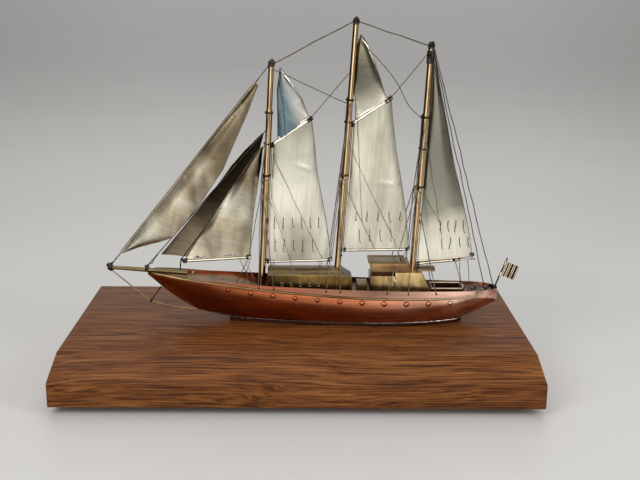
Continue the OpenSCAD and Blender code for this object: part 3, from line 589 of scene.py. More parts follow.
def board():
    hx, hy = board_high.x, board_high.y
    levels = [(board_low.z, 0, 0), (board_high.z - BEVEL_TOP, 0, 0),
              (board_high.z, BEVEL_END, BEVEL_SIDE)]
    bm = bmesh.new()
    vs = [bm.verts.new((sx * (hx - dx), sy * (hy - dy), z)) for z, dx, dy in levels
          for sx, sy in ((-1, -1), (1, -1), (1, 1), (-1, 1))]
    bm.faces.new([vs[i] for i in (3, 2, 1, 0)])
    bm.faces.new([vs[i] for i in (8, 9, 10, 11)])
    for level in (0, 4):
        for j in range(4):
            k = (j + 1) % 4
            bm.faces.new([vs[level + j], vs[level + k], vs[level + 4 + k], vs[level + 4 + j]])
    mesh_piece("board", *bevelled(bm, 0.8), wood, angle=28, replaces=["base_board"], slot="wood")


def feet():
    """Four round pads; FOOT_PROFILE is [part of the radius, part of the height]."""
    low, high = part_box("feet")
    verts, faces = [], []
    for sx in (-1, 1):
        for sy in (-1, 1):
            start = len(verts)
            for wide, up in FOOT_PROFILE:
                z = lerp(low.z, high.z, up)
                verts += [(sx * (high.x - FOOT_R) + wide * FOOT_R * c,
                           sy * (high.y - FOOT_R) + wide * FOOT_R * d, z) for c, d in circle(32)]
            faces += ring_faces(len(FOOT_PROFILE), 32, start)
    mesh_piece("foot_pads", verts, faces, rubber, replaces=["feet"], slot="rubber")


# ---- hull ----

STEM_X, STERN_X, FOREFOOT_X, FOREFOOT_H, KEEL_FLAT_X = -104.8, 138.6, -70.7, 6.8, -38
COUNTER_X, COUNTER_H, QUARTER_X, BOTTOM_T, DECK_H = 113, 15.1, 121, 2.6, 23.4
BEAM, SEAM_BEAM, BULGE, SHEET = 32, 32.6, 2.2, 0.7


def sheer_z(x):
    return 24.8 + 9.2 * (max(0, 110 - x) / 215) ** 1.7


def keel_z(x):
    if x < FOREFOOT_X:
        t = clamp01((x - STEM_X) / (FOREFOOT_X - STEM_X))
        return lerp(sheer_z(STEM_X) - 1.8, FOREFOOT_H, t) - 1.6 * math.sin(math.pi * t)
    if x < KEEL_FLAT_X:
        t = clamp01((KEEL_FLAT_X - x) / (KEEL_FLAT_X - FOREFOOT_X))
        return lerp(BOTTOM_T, FOREFOOT_H, t ** 1.3)
    return lerp(BOTTOM_T, COUNTER_H, clamp01((x - COUNTER_X) / (STERN_X - COUNTER_X)) ** 1.3)


def sheer_half(x):
    bow = math.sin(math.pi / 2 * clamp01((x - STEM_X) / 110)) ** 0.35 if x > STEM_X else 0
    aft = 1 - 0.25 * (max(0, x - 30) / 91) ** 2
    quarter = math.sqrt(max(0, 1 - clamp01((x - QUARTER_X) / (STERN_X - QUARTER_X)) ** 2))
    return max(0.5, BEAM / 2 * bow * aft * quarter)


def seam_half(x):
    if x < 55:
        f = math.cos(math.pi / 2 * clamp01((55 - x) / 125))
    else:
        f = math.sqrt(max(0, math.cos(math.pi / 2 * clamp01((x - 55) / 60))))
    return max(0.5, SEAM_BEAM / 2 * f)


def hull_half(x, t):
    flare = lerp(1.35, 2.4, clamp01((x + 60) / 180))
    full = clamp01(min((x - STEM_X) / 60, (STERN_X - x) / 30))
    return (seam_half(x) + (sheer_half(x) - seam_half(x)) * (1 - t ** flare)
            + BULGE * full * math.sin(math.pi * t))


def hull_at(x, z):
    return hull_half(x, clamp01((sheer_z(x) - z) / (sheer_z(x) - keel_z(x))))


def rail_z(x):
    return 20 + 13.5 * (max(0, 75 - x) / 165) ** 1.6 + 0.0004 * max(0, x - 75) ** 2


def deck_z(x):
    return min(sheer_z(x) - 1.6, max(DECK_H, DECK_H + (-24 - x) * 0.23))


PORTS = [-48 + 15.2 * i for i in range(11)]
PORT_DROP, BULWARK_END = 3.2, 124
SIDES = {-1: "port", 1: "starboard"}


def hull_sheet(side):
    """One copper side, a closed sheet; the bulwark above the rail has its own ramp of painted light and
    shade.
    """
    cols, rows = 150, 26
    verts = []
    for i in range(cols + 1):
        x = lerp(STEM_X, STERN_X, (1 - math.cos(math.pi * i / cols)) / 2)
        outer, inner = [], []
        for j in range(rows + 1):
            z = lerp(sheer_z(x), keel_z(x), j / rows)
            y = hull_half(x, j / rows)
            dent = 0.10 * noise.noise(Vector((x * 0.05, z * 0.12, side * 7.0))) * min(1, y / 4)
            outer.append(at(x, side * (y + dent), z))
            inner.append(at(x, side * max(0.02, y - SHEET), z))
        verts += outer[::-1] + inner
    obj = mesh_piece("hull_sheet_" + SIDES[side], verts, ring_faces(cols + 1, 2 * (rows + 1)),
                     copper, angle=50, replaces=["hull_" + SIDES[side]], slot="copper")
    obj.data.materials.append(bulwark_copper)
    for p in obj.data.polygons:
        x, z = p.center.x / MM, (p.center.z - BOARD_TOP) / MM
        if z > rail_z(x) and x < BULWARK_END:
            p.material_index = 1


def port_bosses(name, profile, material, slot, replaces=()):
    """Rings or domes pressed out of the copper at the ports; profile is [radius, height]."""
    verts, faces = [], []
    for side in SIDES:
        for x in PORTS:
            z = rail_z(x) - PORT_DROP
            dx = (hull_at(x + 1, z) - hull_at(x - 1, z)) / 2
            dz = (hull_at(x, z + 1) - hull_at(x, z - 1)) / 2
            n = Vector((-dx, 1, -dz)).normalized()
            n.y *= side
            u = Vector((1, 0, 0))
            u = (u - n * u.dot(n)).normalized()
            v = n.cross(u)
            start = len(verts)
            centre = Vector((x, side * hull_at(x, z), z))
            for r, h in profile:
                verts += [at(*(centre + (u * c + v * d) * r + n * h)) for c, d in circle(20)]
            faces += ring_faces(len(profile), 20, start)
    mesh_piece(name, verts, faces, material, angle=60, slot=slot, replaces=replaces)


def side_bar(name, x0, x1, heights, profile, material, sides, steps=110, wobble=0.0, **kw):
    """A bar along the hull's sides; profile is [out from the hull, up] in millimetres."""
    verts, faces = [], []
    for side in sides:
        start = len(verts)
        for i in range(steps + 1):
            x = lerp(x0, x1, i / steps)
            z = heights(x)
            y = hull_at(x, z)
            end = min(1.0, 8 * (i / steps + 0.01), 8 * (1 - i / steps + 0.01))
            size = end ** 0.5 * (1 + wobble * noise.noise(Vector((x * 0.35, side * 3.0, 1.0))))
            lift = wobble * 0.4 * noise.noise(Vector((x * 0.2, side * 5.0, 4.0)))
            for out, up in profile:
                wide = out * size if out > 0 else out
                verts.append(at(x, side * (y + wide), z + up * size + lift))
        faces += ring_faces(steps + 1, len(profile), start)
    mesh_piece(name, verts, faces, material, angle=50, **kw)


RAIL_PROFILE = [(-0.25, -0.75), (0.75, -0.75), (0.98, -0.6), (1.05, -0.3), (1.05, 0.3), (0.98, 0.6),
                (0.75, 0.75), (-0.25, 0.75)]
SEAM_PROFILE = [(-0.3, -0.4), (0.2, -0.45), (0.45, -0.3), (0.55, 0.0), (0.4, 0.25), (0.12, 0.4),
                (-0.3, 0.45)]

board()
feet()
for side in SIDES:
    hull_sheet(side)
port_bosses("port_domes", [(1.6, -0.2), (1.45, 0.14), (1.2, 0.34), (0.8, 0.5), (0.4, 0.56),
                           (0.02, 0.58)], copper, "copper_stud", ["hull_portlights"])
port_bosses("port_rims", [(2.05, -0.2), (1.95, 0.1), (1.75, 0.14), (1.5, -0.2)], rim_copper,
            "dark_copper")
for side, word in SIDES.items():
    side_bar("rail_" + word, -101, 122, rail_z, RAIL_PROFILE, rail_brass, [side],
             replaces=["rub_rail_" + word], slot="bright_brass")
side_bar("solder_run", -66, 112, lambda x: keel_z(x) + 0.3, SEAM_PROFILE, seam_solder, SIDES,
         wobble=0.7, steps=220, replaces=["solder_seam"], slot="solder")
# The bottom plate, charthouse plinth and cockpit well get near-black copper: dark patina with painted
# shade under the hull and in the recesses
for node_name in ("bottom_plate", "charthouse_plinth", "cockpit_well"):
    paint(node_name, dark_copper)
paint("deck_plate", deck_brass)
paint("mounting_screws", solder)
paint("mounting_nuts", rail_brass)

# ---- deck furniture ----


def soft_box(name, x0, x1, half, z0, z1, material, slope=0.0, ribs=(), **kw):
    """A folded sheet box with rounded edges; slope leans the after face forward at the top.
    Ribs are x positions of raised seams that run up both sides and over the top."""
    bm = bmesh.new()
    corners = [(x0, z0), (x1, z0), (x1 - slope, z1), (x0, z1)]
    port, starboard = [[bm.verts.new(at(x, s * half, z)) for x, z in corners] for s in SIDES]
    bm.faces.new(port)
    bm.faces.new(starboard[::-1])
    for j in range(4):
        k = (j + 1) % 4
        bm.faces.new([port[k], port[j], starboard[j], starboard[k]])
    verts, faces = bevelled(bm, 0.35)
    w, out, deep = 0.35, 0.3, 0.2
    outer = [(half + out, z0), (half + out, z1 + out)]
    inner = [(half - deep, z0), (half - deep, z1 - deep)]
    ring = ([(-y, z) for y, z in outer] + outer[::-1] + inner
            + [(-y, z) for y, z in inner[::-1]])
    for x in ribs:
        start = len(verts)
        for dx in (-w, w):
            verts += [at(x + dx, y, z) for y, z in ring]
        faces += ring_faces(2, 8, start)
    mesh_piece(name, verts, faces, material, angle=40, slot="aged_brass", **kw)


HOUSE_X0, HOUSE_X1, HOUSE_HALF, HOUSE_EAVE, HOUSE_CROWN = -21.5, 36.5, 9.0, 33.5, 5.2


def forward_house():
    """Barrel-roofed deckhouse; its after end slopes down, and its sheet is a little uneven."""
    steps, arc = 60, 18
    slope_x, slope_z = HOUSE_X1 - 6, 36.2
    middle = DECK_H + 0.5 * (HOUSE_EAVE - DECK_H)
    wall = [(-HOUSE_HALF, z) for z in (DECK_H, middle, HOUSE_EAVE - 0.6)]
    roof = [(-HOUSE_HALF, HOUSE_EAVE)]
    for k in range(1, arc):
        a = math.pi * (1 - k / arc)
        roof.append((HOUSE_HALF * math.cos(a), HOUSE_EAVE + HOUSE_CROWN * math.sin(a) ** 0.9))
    roof.append((HOUSE_HALF, HOUSE_EAVE))
    ring = wall + roof + [(-y, z) for y, z in wall[::-1]]
    verts = []
    for i in range(steps + 1):
        x = lerp(HOUSE_X0, HOUSE_X1, i / steps)
        over = max(0.0, x - slope_x)
        for y, z in ring:
            if over > 0:
                z = min(z, max(slope_z - over * 0.72, DECK_H + 3))
            bow = 0.12 * noise.noise(Vector((x * 0.12, y * 0.1, z * 0.1)))
            verts.append(at(x, y * (1 + bow / 9), z + bow * 0.6))
    obj = mesh_piece("forward_house", verts, ring_faces(steps + 1, len(ring)), house_brass,
                     angle=32, replaces=["forward_deckhouse"], slot="aged_brass")
    obj.data.materials.append(grey_brass)
    for p in obj.data.polygons:
        if (p.center.z - BOARD_TOP) / MM > HOUSE_EAVE + 0.6 and abs(p.normal.x) < 0.6:
            p.material_index = 1


def torus_into(store, centre, normal, big, small):
    """Adds a ring of wire, with big and small radii, to store [verts, faces]."""
    verts, faces = store
    n, m = 22, 8
    normal = Vector(normal).normalized()
    u = normal.orthogonal().normalized()
    v = normal.cross(u)
    start = len(verts)
    for c, d in circle(n):
        verts += [at(*(Vector(centre) + (u * c + v * d) * (big + small * e) + normal * small * f))
                  for e, f in circle(m)]
    for i in range(n):
        for j in range(m):
            a, b = start + i * m, start + ((i + 1) % n) * m
            k = (j + 1) % m
            faces.append((a + j, b + j, b + k, a + k))


def house_ports():
    """Rings and dished glasses in the sides of the forward house."""
    rings, glass = [[], []], [[], []]
    profile = ((1.3, 0.0), (1.2, 0.1), (0.7, 0.05), (0.02, -0.02))
    for side in SIDES:
        for i in range(5):
            x, z = -11.5 + 6.3 * i, 28
            torus_into(rings, (x, side * (HOUSE_HALF + 0.15), z), (0, 1, 0), 1.38, 0.34)
            start = len(glass[0])
            for r, h in profile:
                y = side * (HOUSE_HALF + 0.02) + side * h
                glass[0] += [at(x + r * c, y, z + r * d) for c, d in circle(16)]
            glass[1] += ring_faces(len(profile), 16, start)
    mesh_piece("deckhouse_port_rings", *rings, rail_brass, angle=60,
               replaces=["deckhouse_portlights"], slot="bright_brass")
    mesh_piece("deckhouse_port_glass", *glass, olive_brass, angle=60, slot="aged_brass")


def charthouse_roof():
    """A flat lid with its edges turned up and its corners cut; rings are [inset, height]."""
    x0, x1, half, z0, z1 = 47.5, 73.3, 8.8, 43.4, 44.6
    corner = 0.5
    rings = [(0.25, z0), (0.0, z0 + 0.25), (0.0, z1 - 0.2), (0.2, z1), (0.95, z1), (1.15, z1 - 0.15),
             (1.25, z0 + 0.65), (1.5, z0 + 0.6)]
    verts = []
    for inset, z in rings:
        for sx, sy in ((-1, -1), (1, -1), (1, 1), (-1, 1)):
            x = x0 + inset if sx < 0 else x1 - inset
            y = sy * (half - inset)
            cuts = [(x, y - sy * corner), (x - sx * corner, y)]
            verts += [at(px, py, z) for px, py in (cuts if sx == sy else cuts[::-1])]
    mesh_piece("charthouse_lid", verts, ring_faces(len(rings), 8), grey_brass, angle=40,
               replaces=["charthouse_roof"], slot="aged_brass")


def hood():
    """A small barrel roof pressed with ribs across it, 2 mm apart."""
    x0, x1, half, z0, z1 = 82.0, 94.0, 5.5, 37.0, 39.35
    cols, rows, wall = 60, 16, 0.5
    verts = []
    for i in range(cols + 1):
        x = lerp(x0, x1, i / cols)
        rib = 0.22 * max(0.0, math.cos(math.pi * (x - x0))) ** 2
        outer, inner = [], []
        for k in range(rows + 1):
            a = math.pi * (1 - k / rows)
            outer.append(at(x, half * math.cos(a), z0 + (z1 - z0 - 0.22 + rib) * math.sin(a) ** 0.8))
            inner.append(at(x, (half - wall) * math.cos(a), z0 + (z1 - z0 - wall - 0.2) * math.sin(a)))
        verts += outer + inner[::-1]
    mesh_piece("ribbed_hood", verts, ring_faces(cols + 1, 2 * (rows + 1)), grey_brass, angle=50,
               replaces=["companion_hood"], slot="aged_brass")


forward_house()
house_ports()
charthouse_roof()
hood()
soft_box("hatch_box", 40, 47.5, 5, DECK_H, 28.4, grey_brass, replaces=["deck_hatch"])
soft_box("midship_box", 49, 66, 9, DECK_H, 34.5, house_brass, ribs=(55.5,),
         replaces=["midship_cabin"])
soft_box("aft_box", 66.1, 91, 9, DECK_H, 37, house_brass, slope=6.5, replaces=["aft_cabin"])
bars("cabin_seam", [([at(64.6, -9.1, 34), at(67.4, -9.25, 28.8), at(70.4, -9.1, 23.8)], 0.42)],
     pale_brass, slot="bright_brass")
soft_box("charthouse_box", 49.5, 75.9, 8.2, 37, 43.4, pink_brass, ribs=(58, 66.5),
         replaces=["charthouse"])


def coaming():
    """A rolled rim round the cockpit, square forward and rounded aft."""
    half, fore_x, aft_x = 6.9, 91.8, 112.0
    pts = [(fore_x, -half), (aft_x, -half)]
    for k in range(1, 12):
        a = math.pi * (0.5 - k / 12)
        pts.append((aft_x + 2.6 * math.cos(a), -half * math.sin(a)))
    pts += [(aft_x, half), (fore_x, half)]
    path = [at(x, y, DECK_H + 1.7) for x, y in pts]
    bars("cockpit_coaming", [(path, 0.55)], rail_brass, sides=10, slot="bright_brass")


coaming()

# ---- masts and spars ----

# [x at the deck, rake, height of the truck, height of the crosstree, lower mast's head]
FORE = (-26, 0.0469, 178.8, 102.5, 147)
MAIN = (25.9, 0.0559, 206.2, 103.3, 156)
MIZZEN = (78.3, 0.0425, 191.2, 95.5, 145)
MASTS = {"fore": FORE, "main": MAIN, "mizzen": MIZZEN}
LOWER_R, TOP_R, SPAR_R, STAY_R, LINE_R = 2.2, 2.0, 1.1, 0.35, 0.25
TOP_SIDE = -(LOWER_R + TOP_R)


def mast_x(m, z):
    return m[0] + m[1] * (z - DECK_H)


def lower(m, z, dx=0.0):
    return Vector((mast_x(m, z) + dx, 0, z))


def upper(m, z, dx=0.0):
    return Vector((mast_x(m, z) + dx, TOP_SIDE, z))


def mast_bar(name, low, high, r0, r1, replaces):
    n = 30
    radii = [lerp(r0, r1, i / n) * (1 + 0.012 * rand(i, len(name))) for i in range(n + 1)]
    bars(name, [(straight(low, high, n), radii)], mast_brass, sides=28, replaces=[replaces],
         slot="mast_brass")


for word, m in MASTS.items():
    mast_bar(word + "_lower_bar", lower(m, BOTTOM_T), lower(m, m[4] - 0.6), LOWER_R, LOWER_R * 0.97,
             word + "_lower_mast")
    mast_bar(word + "_top_bar", upper(m, m[3] - 2), upper(m, m[2] - 0.8), TOP_R, TOP_R * 0.9,
             word + "_topmast")

SPARS = {
    "fore_gaff": ((-19.3, 0, 122.8), (8.1, 0, 141.6)),
    "main_gaff": ((34.2, 0, 137.5), (61.1, 0, 155.3)),
    "staysail_boom": ((-80.3, 0, 41.8), (-33.3, 0, 45)),
    "fore_boom": ((-23.1, 0, 41.8), (22.8, 0, 43.5)),
    "main_boom": ((29.4, 0, 50.4), (76, 0, 51.4)),
}
# The spars' radii are a little smaller at both ends
SPAR_RADII = [SPAR_R * k for k in [0.78, 0.97] + [1] * 9 + [0.97, 0.78]]
for word, ends in SPARS.items():
    bars(word + "_bar", [(straight(*ends, 12), SPAR_RADII)], spar_brass, sides=20,
         replaces=[word], slot="bright_brass")
bars("mizzen_boom_bar", [
    (straight((81, 0, 41), (109, 0, 44.1), 8), SPAR_R),
    ([at(108.4, 0, 44.1), at(115, 0, 44.4), at(122.2, 0, 44.8)], [0.6, 0.55, 0.5])],
    spar_brass, sides=16, replaces=["mizzen_boom"], slot="bright_brass")
bars("bowsprit_bar", [
    (straight((-131.9, 0, 37.08), (-78, 0, 33.4), 14), [lerp(1.25, 1.8, i / 14) for i in range(15)])],
    olive_brass, sides=24, replaces=["bowsprit"], slot="bright_brass")

# ---- sails ----


def along_line(points, n):
    """n + 1 points evenly spaced by length along a line of [x, z] points."""
    cum = [0.0]
    for a, b in zip(points, points[1:]):
        cum.append(cum[-1] + math.dist(a, b))
    out = []
    k = 0
    for i in range(n + 1):
        d = cum[-1] * i / n
        while k < len(cum) - 2 and cum[k + 1] < d:
            k += 1
        span = cum[k + 1] - cum[k] or 1
        t = clamp01((d - cum[k]) / span)
        out.append((lerp(points[k][0], points[k + 1][0], t), lerp(points[k][1], points[k + 1][1], t)))
    return out


HEMS = {"ship": [], "jib": []}
ROLLS = []
SAIL_T = 0.4


def sail(name, luff, leech, shape, material, replaces, slot="sail_brass", body="ship", place=at,
         rolled=(), rows=64):
    """A sheet-metal sail between its luff and leech, given as [x, z] lines from the foot up;
    shape(u, v, x, z) is how far it stands out of its plane, place(x, y, z) puts a point in the
    row frame, and rolled names the edges that end in a roll instead of a hem."""
    cols = 26
    f, h = along_line([luff[0], leech[0]], cols), along_line([luff[-1], leech[-1]], cols)
    l, e = along_line(luff, rows), along_line(leech, rows)
    front, back = [], []
    for i in range(rows + 1):
        v = i / rows
        for j in range(cols + 1):
            u = j / cols
            x, z = [lerp(f[j][k], h[j][k], v) + lerp(l[i][k], e[i][k], u)
                    - lerp(lerp(f[0][k], f[-1][k], u), lerp(h[0][k], h[-1][k], u), v)
                    for k in (0, 1)]
            y = shape(u, v, x, z)
            front.append(place(x, y - SAIL_T / 2, z))
            back.append(place(x, y + SAIL_T / 2, z))
    middle = [(a + b) / 2 for a, b in zip(front, back)]
    w = cols + 1
    edges = {"luff": middle[::w], "foot": middle[:w], "leech": middle[cols::w]}
    HEMS[body] += [edges[k] for k in edges if k not in rolled]
    ROLLS.extend(edges[k] for k in rolled)
    return mesh_piece(name, front + back, plate_faces(cols, rows), material, angle=40,
                      replaces=[replaces], slot=slot, body=body)


def on_spar(word, x, up):
    """The [x, z] point that stands up from a spar's centre line at x."""
    a, b = SPARS[word]
    return (x, lerp(a[2], b[2], (x - a[0]) / (b[0] - a[0])) + up)


def gentle(belly, wave, seed, crease=None):
    """Belly of a hand-bent sheet: fullest in the middle, a few soft waves, one sharp crease."""
    def shape(u, v, x, z):
        y = belly * math.sin(math.pi * clamp01(u)) ** 0.8 * (0.5 + 0.5 * math.sin(math.pi * clamp01(v)))
        y += wave * noise.noise(Vector((x * 0.045, z * 0.03, seed))) * min(1, 6 * u + 0.15)
        if crease:
            (x0, z0), (x1, z1), depth = crease
            d, p = Vector((x1 - x0, z1 - z0)), Vector((x - x0, z - z0))
            t = p.dot(d) / d.length_squared
            off = (p - d * t).length
            if -0.2 < t < 1.2:
                y += depth * math.exp(-(off / 0.65) ** 2) * math.sin(math.pi * clamp01(t * 0.8 + 0.1))
        return y
    return shape


def front_y(obj, x, z, default=0.0):
    """How far out the port face of a sail stands at x, z."""
    hit, where = obj.ray_cast(at(x, -40, z), Vector((0, 1, 0)))[:2]
    return (where.y - SHIP_Y) / MM if hit else default


# The sails' edges lie this far from the centre lines of their spars
GAP = 0.88
fore_sheet = sail(
    "fore_sheet", [on_spar("fore_boom", -21.9, GAP), on_spar("fore_gaff", -18.05, -GAP)],
    [on_spar("fore_boom", 21.4, GAP), (20.4, 58), (17.6, 75.2), (14.6, 90), (11.8, 105), (10, 124),
     on_spar("fore_gaff", 7.8, -GAP)],
    gentle(-2.2, 1.1, 3.0, crease=((-3.1, 111.1), (11.8, 105), -0.6)), fore_brass, "fore_sail",
    rolled=("luff",))
main_sheet = sail(
    "main_sheet", [on_spar("main_boom", 30.7, GAP), on_spar("main_gaff", 35.6, -GAP)],
    [on_spar("main_boom", 75.4, GAP), (73.1, 75.6), (69.2, 98), (64.8, 120.5), (62.4, 138),
     on_spar("main_gaff", 60.5, -GAP)],
    gentle(-2.4, 1.1, 5.0, crease=((54, 98.8), (68.3, 95.8), -0.6)), main_brass, "main_sail",
    rolled=("luff",))
sail("fore_top_sheet",
     [on_spar("fore_gaff", -14.6, GAP), (-14.8, 145), (-15.1, 160), (-13.2, 174.3)],
     [on_spar("fore_gaff", 6.2, GAP), (1.5, 153.6), (-3.3, 161.3), (-12.6, 174.3)],
     gentle(-1.6, 1.2, 8.0), blue_brass, "fore_topsail")
sail("main_top_sheet",
     [on_spar("main_gaff", 37.2, GAP), (36.9, 154), (35.6, 160), (34.9, 170), (35.9, 183),
      (37.4, 189.6), (39.4, 196.2)],
     [on_spar("main_gaff", 57.5, GAP), (54.3, 163.8), (49, 178.8), (44.6, 189.5), (39.8, 196.2)],
     gentle(-1.6, 1.1, 9.0), top_brass, "main_topsail")
mizzen_sheet = sail(
    "mizzen_sheet", [(82.4, 43), (86.4, 144), (87.1, 186.4)],
    [(120, 47.2), (116, 68), (111.4, 86.4), (104.6, 110.6), (99.3, 134.3), (92.6, 163),
     (87.9, 186.4)],
    gentle(-2.4, 1.2, 11.0), green_brass, "mizzen_sail", rolled=("foot",))
sail("staysail_sheet",
     [on_spar("staysail_boom", -78.6, GAP), (-57.8, 75.4), (-47.8, 91), (-40, 102), (-33.4, 111.6),
      (-28.6, 118.8), (-25.5, 121.6)],
     [on_spar("staysail_boom", -33.9, GAP), (-33, 62), (-31.3, 78), (-29.2, 90), (-27.6, 101),
      (-26, 110), (-24.9, 122)],
     gentle(-2.6, 1.6, 14.0), staysail_brass, "staysail", slot="headsail_brass")
inner_belly = gentle(1.6, 0.5, 16.0)
sail("inner_jib_sheet",
     [(-95, 46.4), (-57.5, 92.4), (-46, 108.6), (-38, 118), (-30.2, 126), (-24.8, 131.2)],
     [(-76, 44.9), (-52, 76), (-36, 100), (-27.6, 118), (-24.2, 131.2)],
     lambda u, v, x, z: 0.6 + inner_belly(u, v, x, z), shaded_jib_brass, "inner_jib",
     slot="dark_sail_brass")

# The flying jib is drawn as [distance from its stay, distance along the stay]
TACK, MASTHEAD = Vector((-131, 0, 37.2)), Vector((-20.2, TOP_SIDE, 176.5))
STAY_DIR = (MASTHEAD - TACK).normalized()
AZ = math.atan2(STAY_DIR.y, STAY_DIR.x)
POL = math.acos(STAY_DIR.z)
STAY_OUT = Vector((math.cos(AZ) * math.cos(POL), math.sin(AZ) * math.cos(POL), -math.sin(POL)))
STAY_SIDE = Vector((-math.sin(AZ), math.cos(AZ), 0))


def on_stay(out, side, along):
    return at(*(TACK + STAY_OUT * out + STAY_SIDE * side + STAY_DIR * along))


def jib_shape(u, v, x, z):
    y = -2.2 * math.sin(math.pi * u) * (0.4 + 0.6 * math.sin(math.pi * v))
    y += 1.1 * u * noise.noise(Vector((x * 0.05, z * 0.035, 2.0)))
    return y + 0.5 * u * math.sin(z * 0.07)


sail("flying_jib_sheet", [(0.85, 14), (0.85, 163.4)],
     [(1.1, 14.2), (7.3, 24.6), (15.6, 36), (21.1, 45), (21.3, 60), (21, 78), (18.8, 104),
      (12.9, 126), (8, 145), (2.2, 163.4)],
     jib_shape, jib_brass, "flying_jib", slot="headsail_brass", body="jib", place=on_stay,
     rows=100)


def rolled_luff():
    """The jib's edge, rolled loosely round the stay without touching it."""
    verts, n, rows = [], 20, 90
    for i in range(rows + 1):
        s = lerp(14, 163.2, i / rows)
        ring = []
        for r, order in ((0.92, range(n)), (0.52, reversed(range(n)))):
            for j in order:
                a = math.radians(lerp(8, 330, j / (n - 1)))
                k = r * (1 + (0.06 * noise.noise(Vector((s * 0.25, a, 3.0))) if r > 0.6 else 0))
                ring.append(on_stay(k * math.cos(a), k * math.sin(a), s))
        verts += ring
    mesh_piece("jib_rolled_luff", verts, ring_faces(rows + 1, 2 * n), jib_brass, angle=50,
               replaces=["jib_tubes"], slot="bright_brass", body="jib")


rolled_luff()
bars("rolled_edges", [(edge, 0.78) for edge in ROLLS], roll_brass, sides=12, slot="sail_brass")
bars("topsail_foot_rolls", [
    ([at(x, 0, z) for x, z in (on_spar(word, q, 2.0) for q in (x0, (x0 + x1) / 2, x1))], 0.8)
    for word, x0, x1 in (("fore_gaff", -14.4, 6.4), ("main_gaff", 37.6, 58))],
    spar_brass, sides=12, slot="sail_brass")
for body_name, edges in HEMS.items():
    bars("hems_" + body_name, [(edge, 0.3) for edge in edges], hem_brass, sides=6,
         slot="dark_sail_brass", body=body_name)

# ---- rigging ----


def wires(name, items, material, replaces=(), slot="dark_wire"):
    bars(name, items, material, replaces=list(replaces), slot=slot)


def knot(centre, size, seed, turns, n, r):
    """A tangle of wire as an item for bars()."""
    return tangle(centre, size, seed, turns, n), r


def taut(a, b, r, seed=1.0, wobble=0.12):
    return wire_path([a, b], wobble, seed), r


def face(m, z, way):
    return lower(m, z, way * (LOWER_R - 0.1))


def tface(m, z, way):
    return upper(m, z, way * (TOP_R * 0.9 - 0.1))


wires("outer_stay_wire", [([on_stay(0, 0, s) for s in (0, 60, 120, 178)], STAY_R)], black_wire,
      ["outer_forestay"])
wires("inner_stay_wires", [
    taut((-106.5, 0, 36.4), (-22.7, 0, 133), STAY_R, 2.0),
    taut((-81.6, 0, 42.8), (-23.2, 0, 123), STAY_R, 3.0)], black_wire, ["inner_forestays"])
wires("masthead_wires", [
    taut(tface(FORE, 177.6, 1), tface(MAIN, 204.8, -1), STAY_R, 4.0, 0.4),
    taut(tface(MAIN, 204.8, 1), tface(MIZZEN, 190, -1), STAY_R, 5.0, 0.4),
    taut(tface(FORE, 173.5, 1), face(MAIN, 151.6, -1), LINE_R, 6.0, 0.35),
    taut((8.1, 0, 142.5), tface(MAIN, 172, -1), LINE_R, 7.0, 0.2),
    taut((61, 0, 156.2), tface(MIZZEN, 185, -1), LINE_R, 8.0, 0.2),
    (curve([tface(MAIN, 193.6, 1), (50, TOP_SIDE, 182), (63, TOP_SIDE, 167), (72, -1.6, 151),
            face(MIZZEN, 142, -1)]), LINE_R)], black_wire, ["spring_stays"])

SHROUDS = {"fore": (FORE, 144, (-27.5, -17)), "main": (MAIN, 152, (18.6, 28.2)),
           "mizzen": (MIZZEN, 141, (60.4, 75, 94.2))}
for word, (m, top, decks) in SHROUDS.items():
    items, eyes = [], []
    tree_x = mast_x(m, m[3]) - LOWER_R - 0.4
    for k, x in enumerate(decks):
        for side in (-1, 1):
            z = sheer_z(x) - 2.2
            start = side * 2.0 if side > 0 else -(LOWER_R + 2 * TOP_R - 0.2)
            spread = 6.8 - side * TOP_SIDE / -2
            y = side * (hull_at(x, z) - 0.3)
            bend = Vector((tree_x - 0.6, side * spread, m[3] - 1.4))
            path = wire_path([(mast_x(m, top), start, top), bend], 0.15, 20 + k)[:-1]
            path += wire_path([bend, (x, y, z)], 0.18, 30 + k + side)
            items.append((path, 0.33))
            eyes.append(knot((x, y + 0.25 * side, z + 0.6), 0.55, k + side * 3.0, 2.4, 16, 0.26))
    wires(word + "_shroud_wires", items, dull_wire, [word + "_shrouds"], "shroud_wire")
    wires(word + "_shroud_eyes", eyes, black_wire)

wires("backstay_wires", [
    taut(tface(MIZZEN, 188, 1), (130.6, 7.2, 24), 0.3, 9.0, 0.5),
    taut(tface(MIZZEN, 189.6, 1), (136, -1.9, 23.8), 0.3, 10.0, 0.5),
    (tangle((130.6, 7.2, 24.6), 0.7, 2.0), 0.28), (tangle((136, -1.9, 24.4), 0.7, 5.0), 0.28),
    (wire_path([tface(MIZZEN, 181, 1), (93.5, -2.4, 158)], 0.25, 12.0), 0.3)],
    black_wire, ["backstays"])

bpy.context.view_layer.update()
lifts = [
    taut((-34.6, -0.9, 45.2), face(FORE, 100, -1) - Vector((0, 0.9, 0)), LINE_R, 13.0),
    taut((22.4, -0.8, 44.3), face(MAIN, 82, -1), LINE_R, 14.0),
    taut((75.8, -0.8, 52.2), face(MIZZEN, 82, -1), LINE_R, 15.0)]
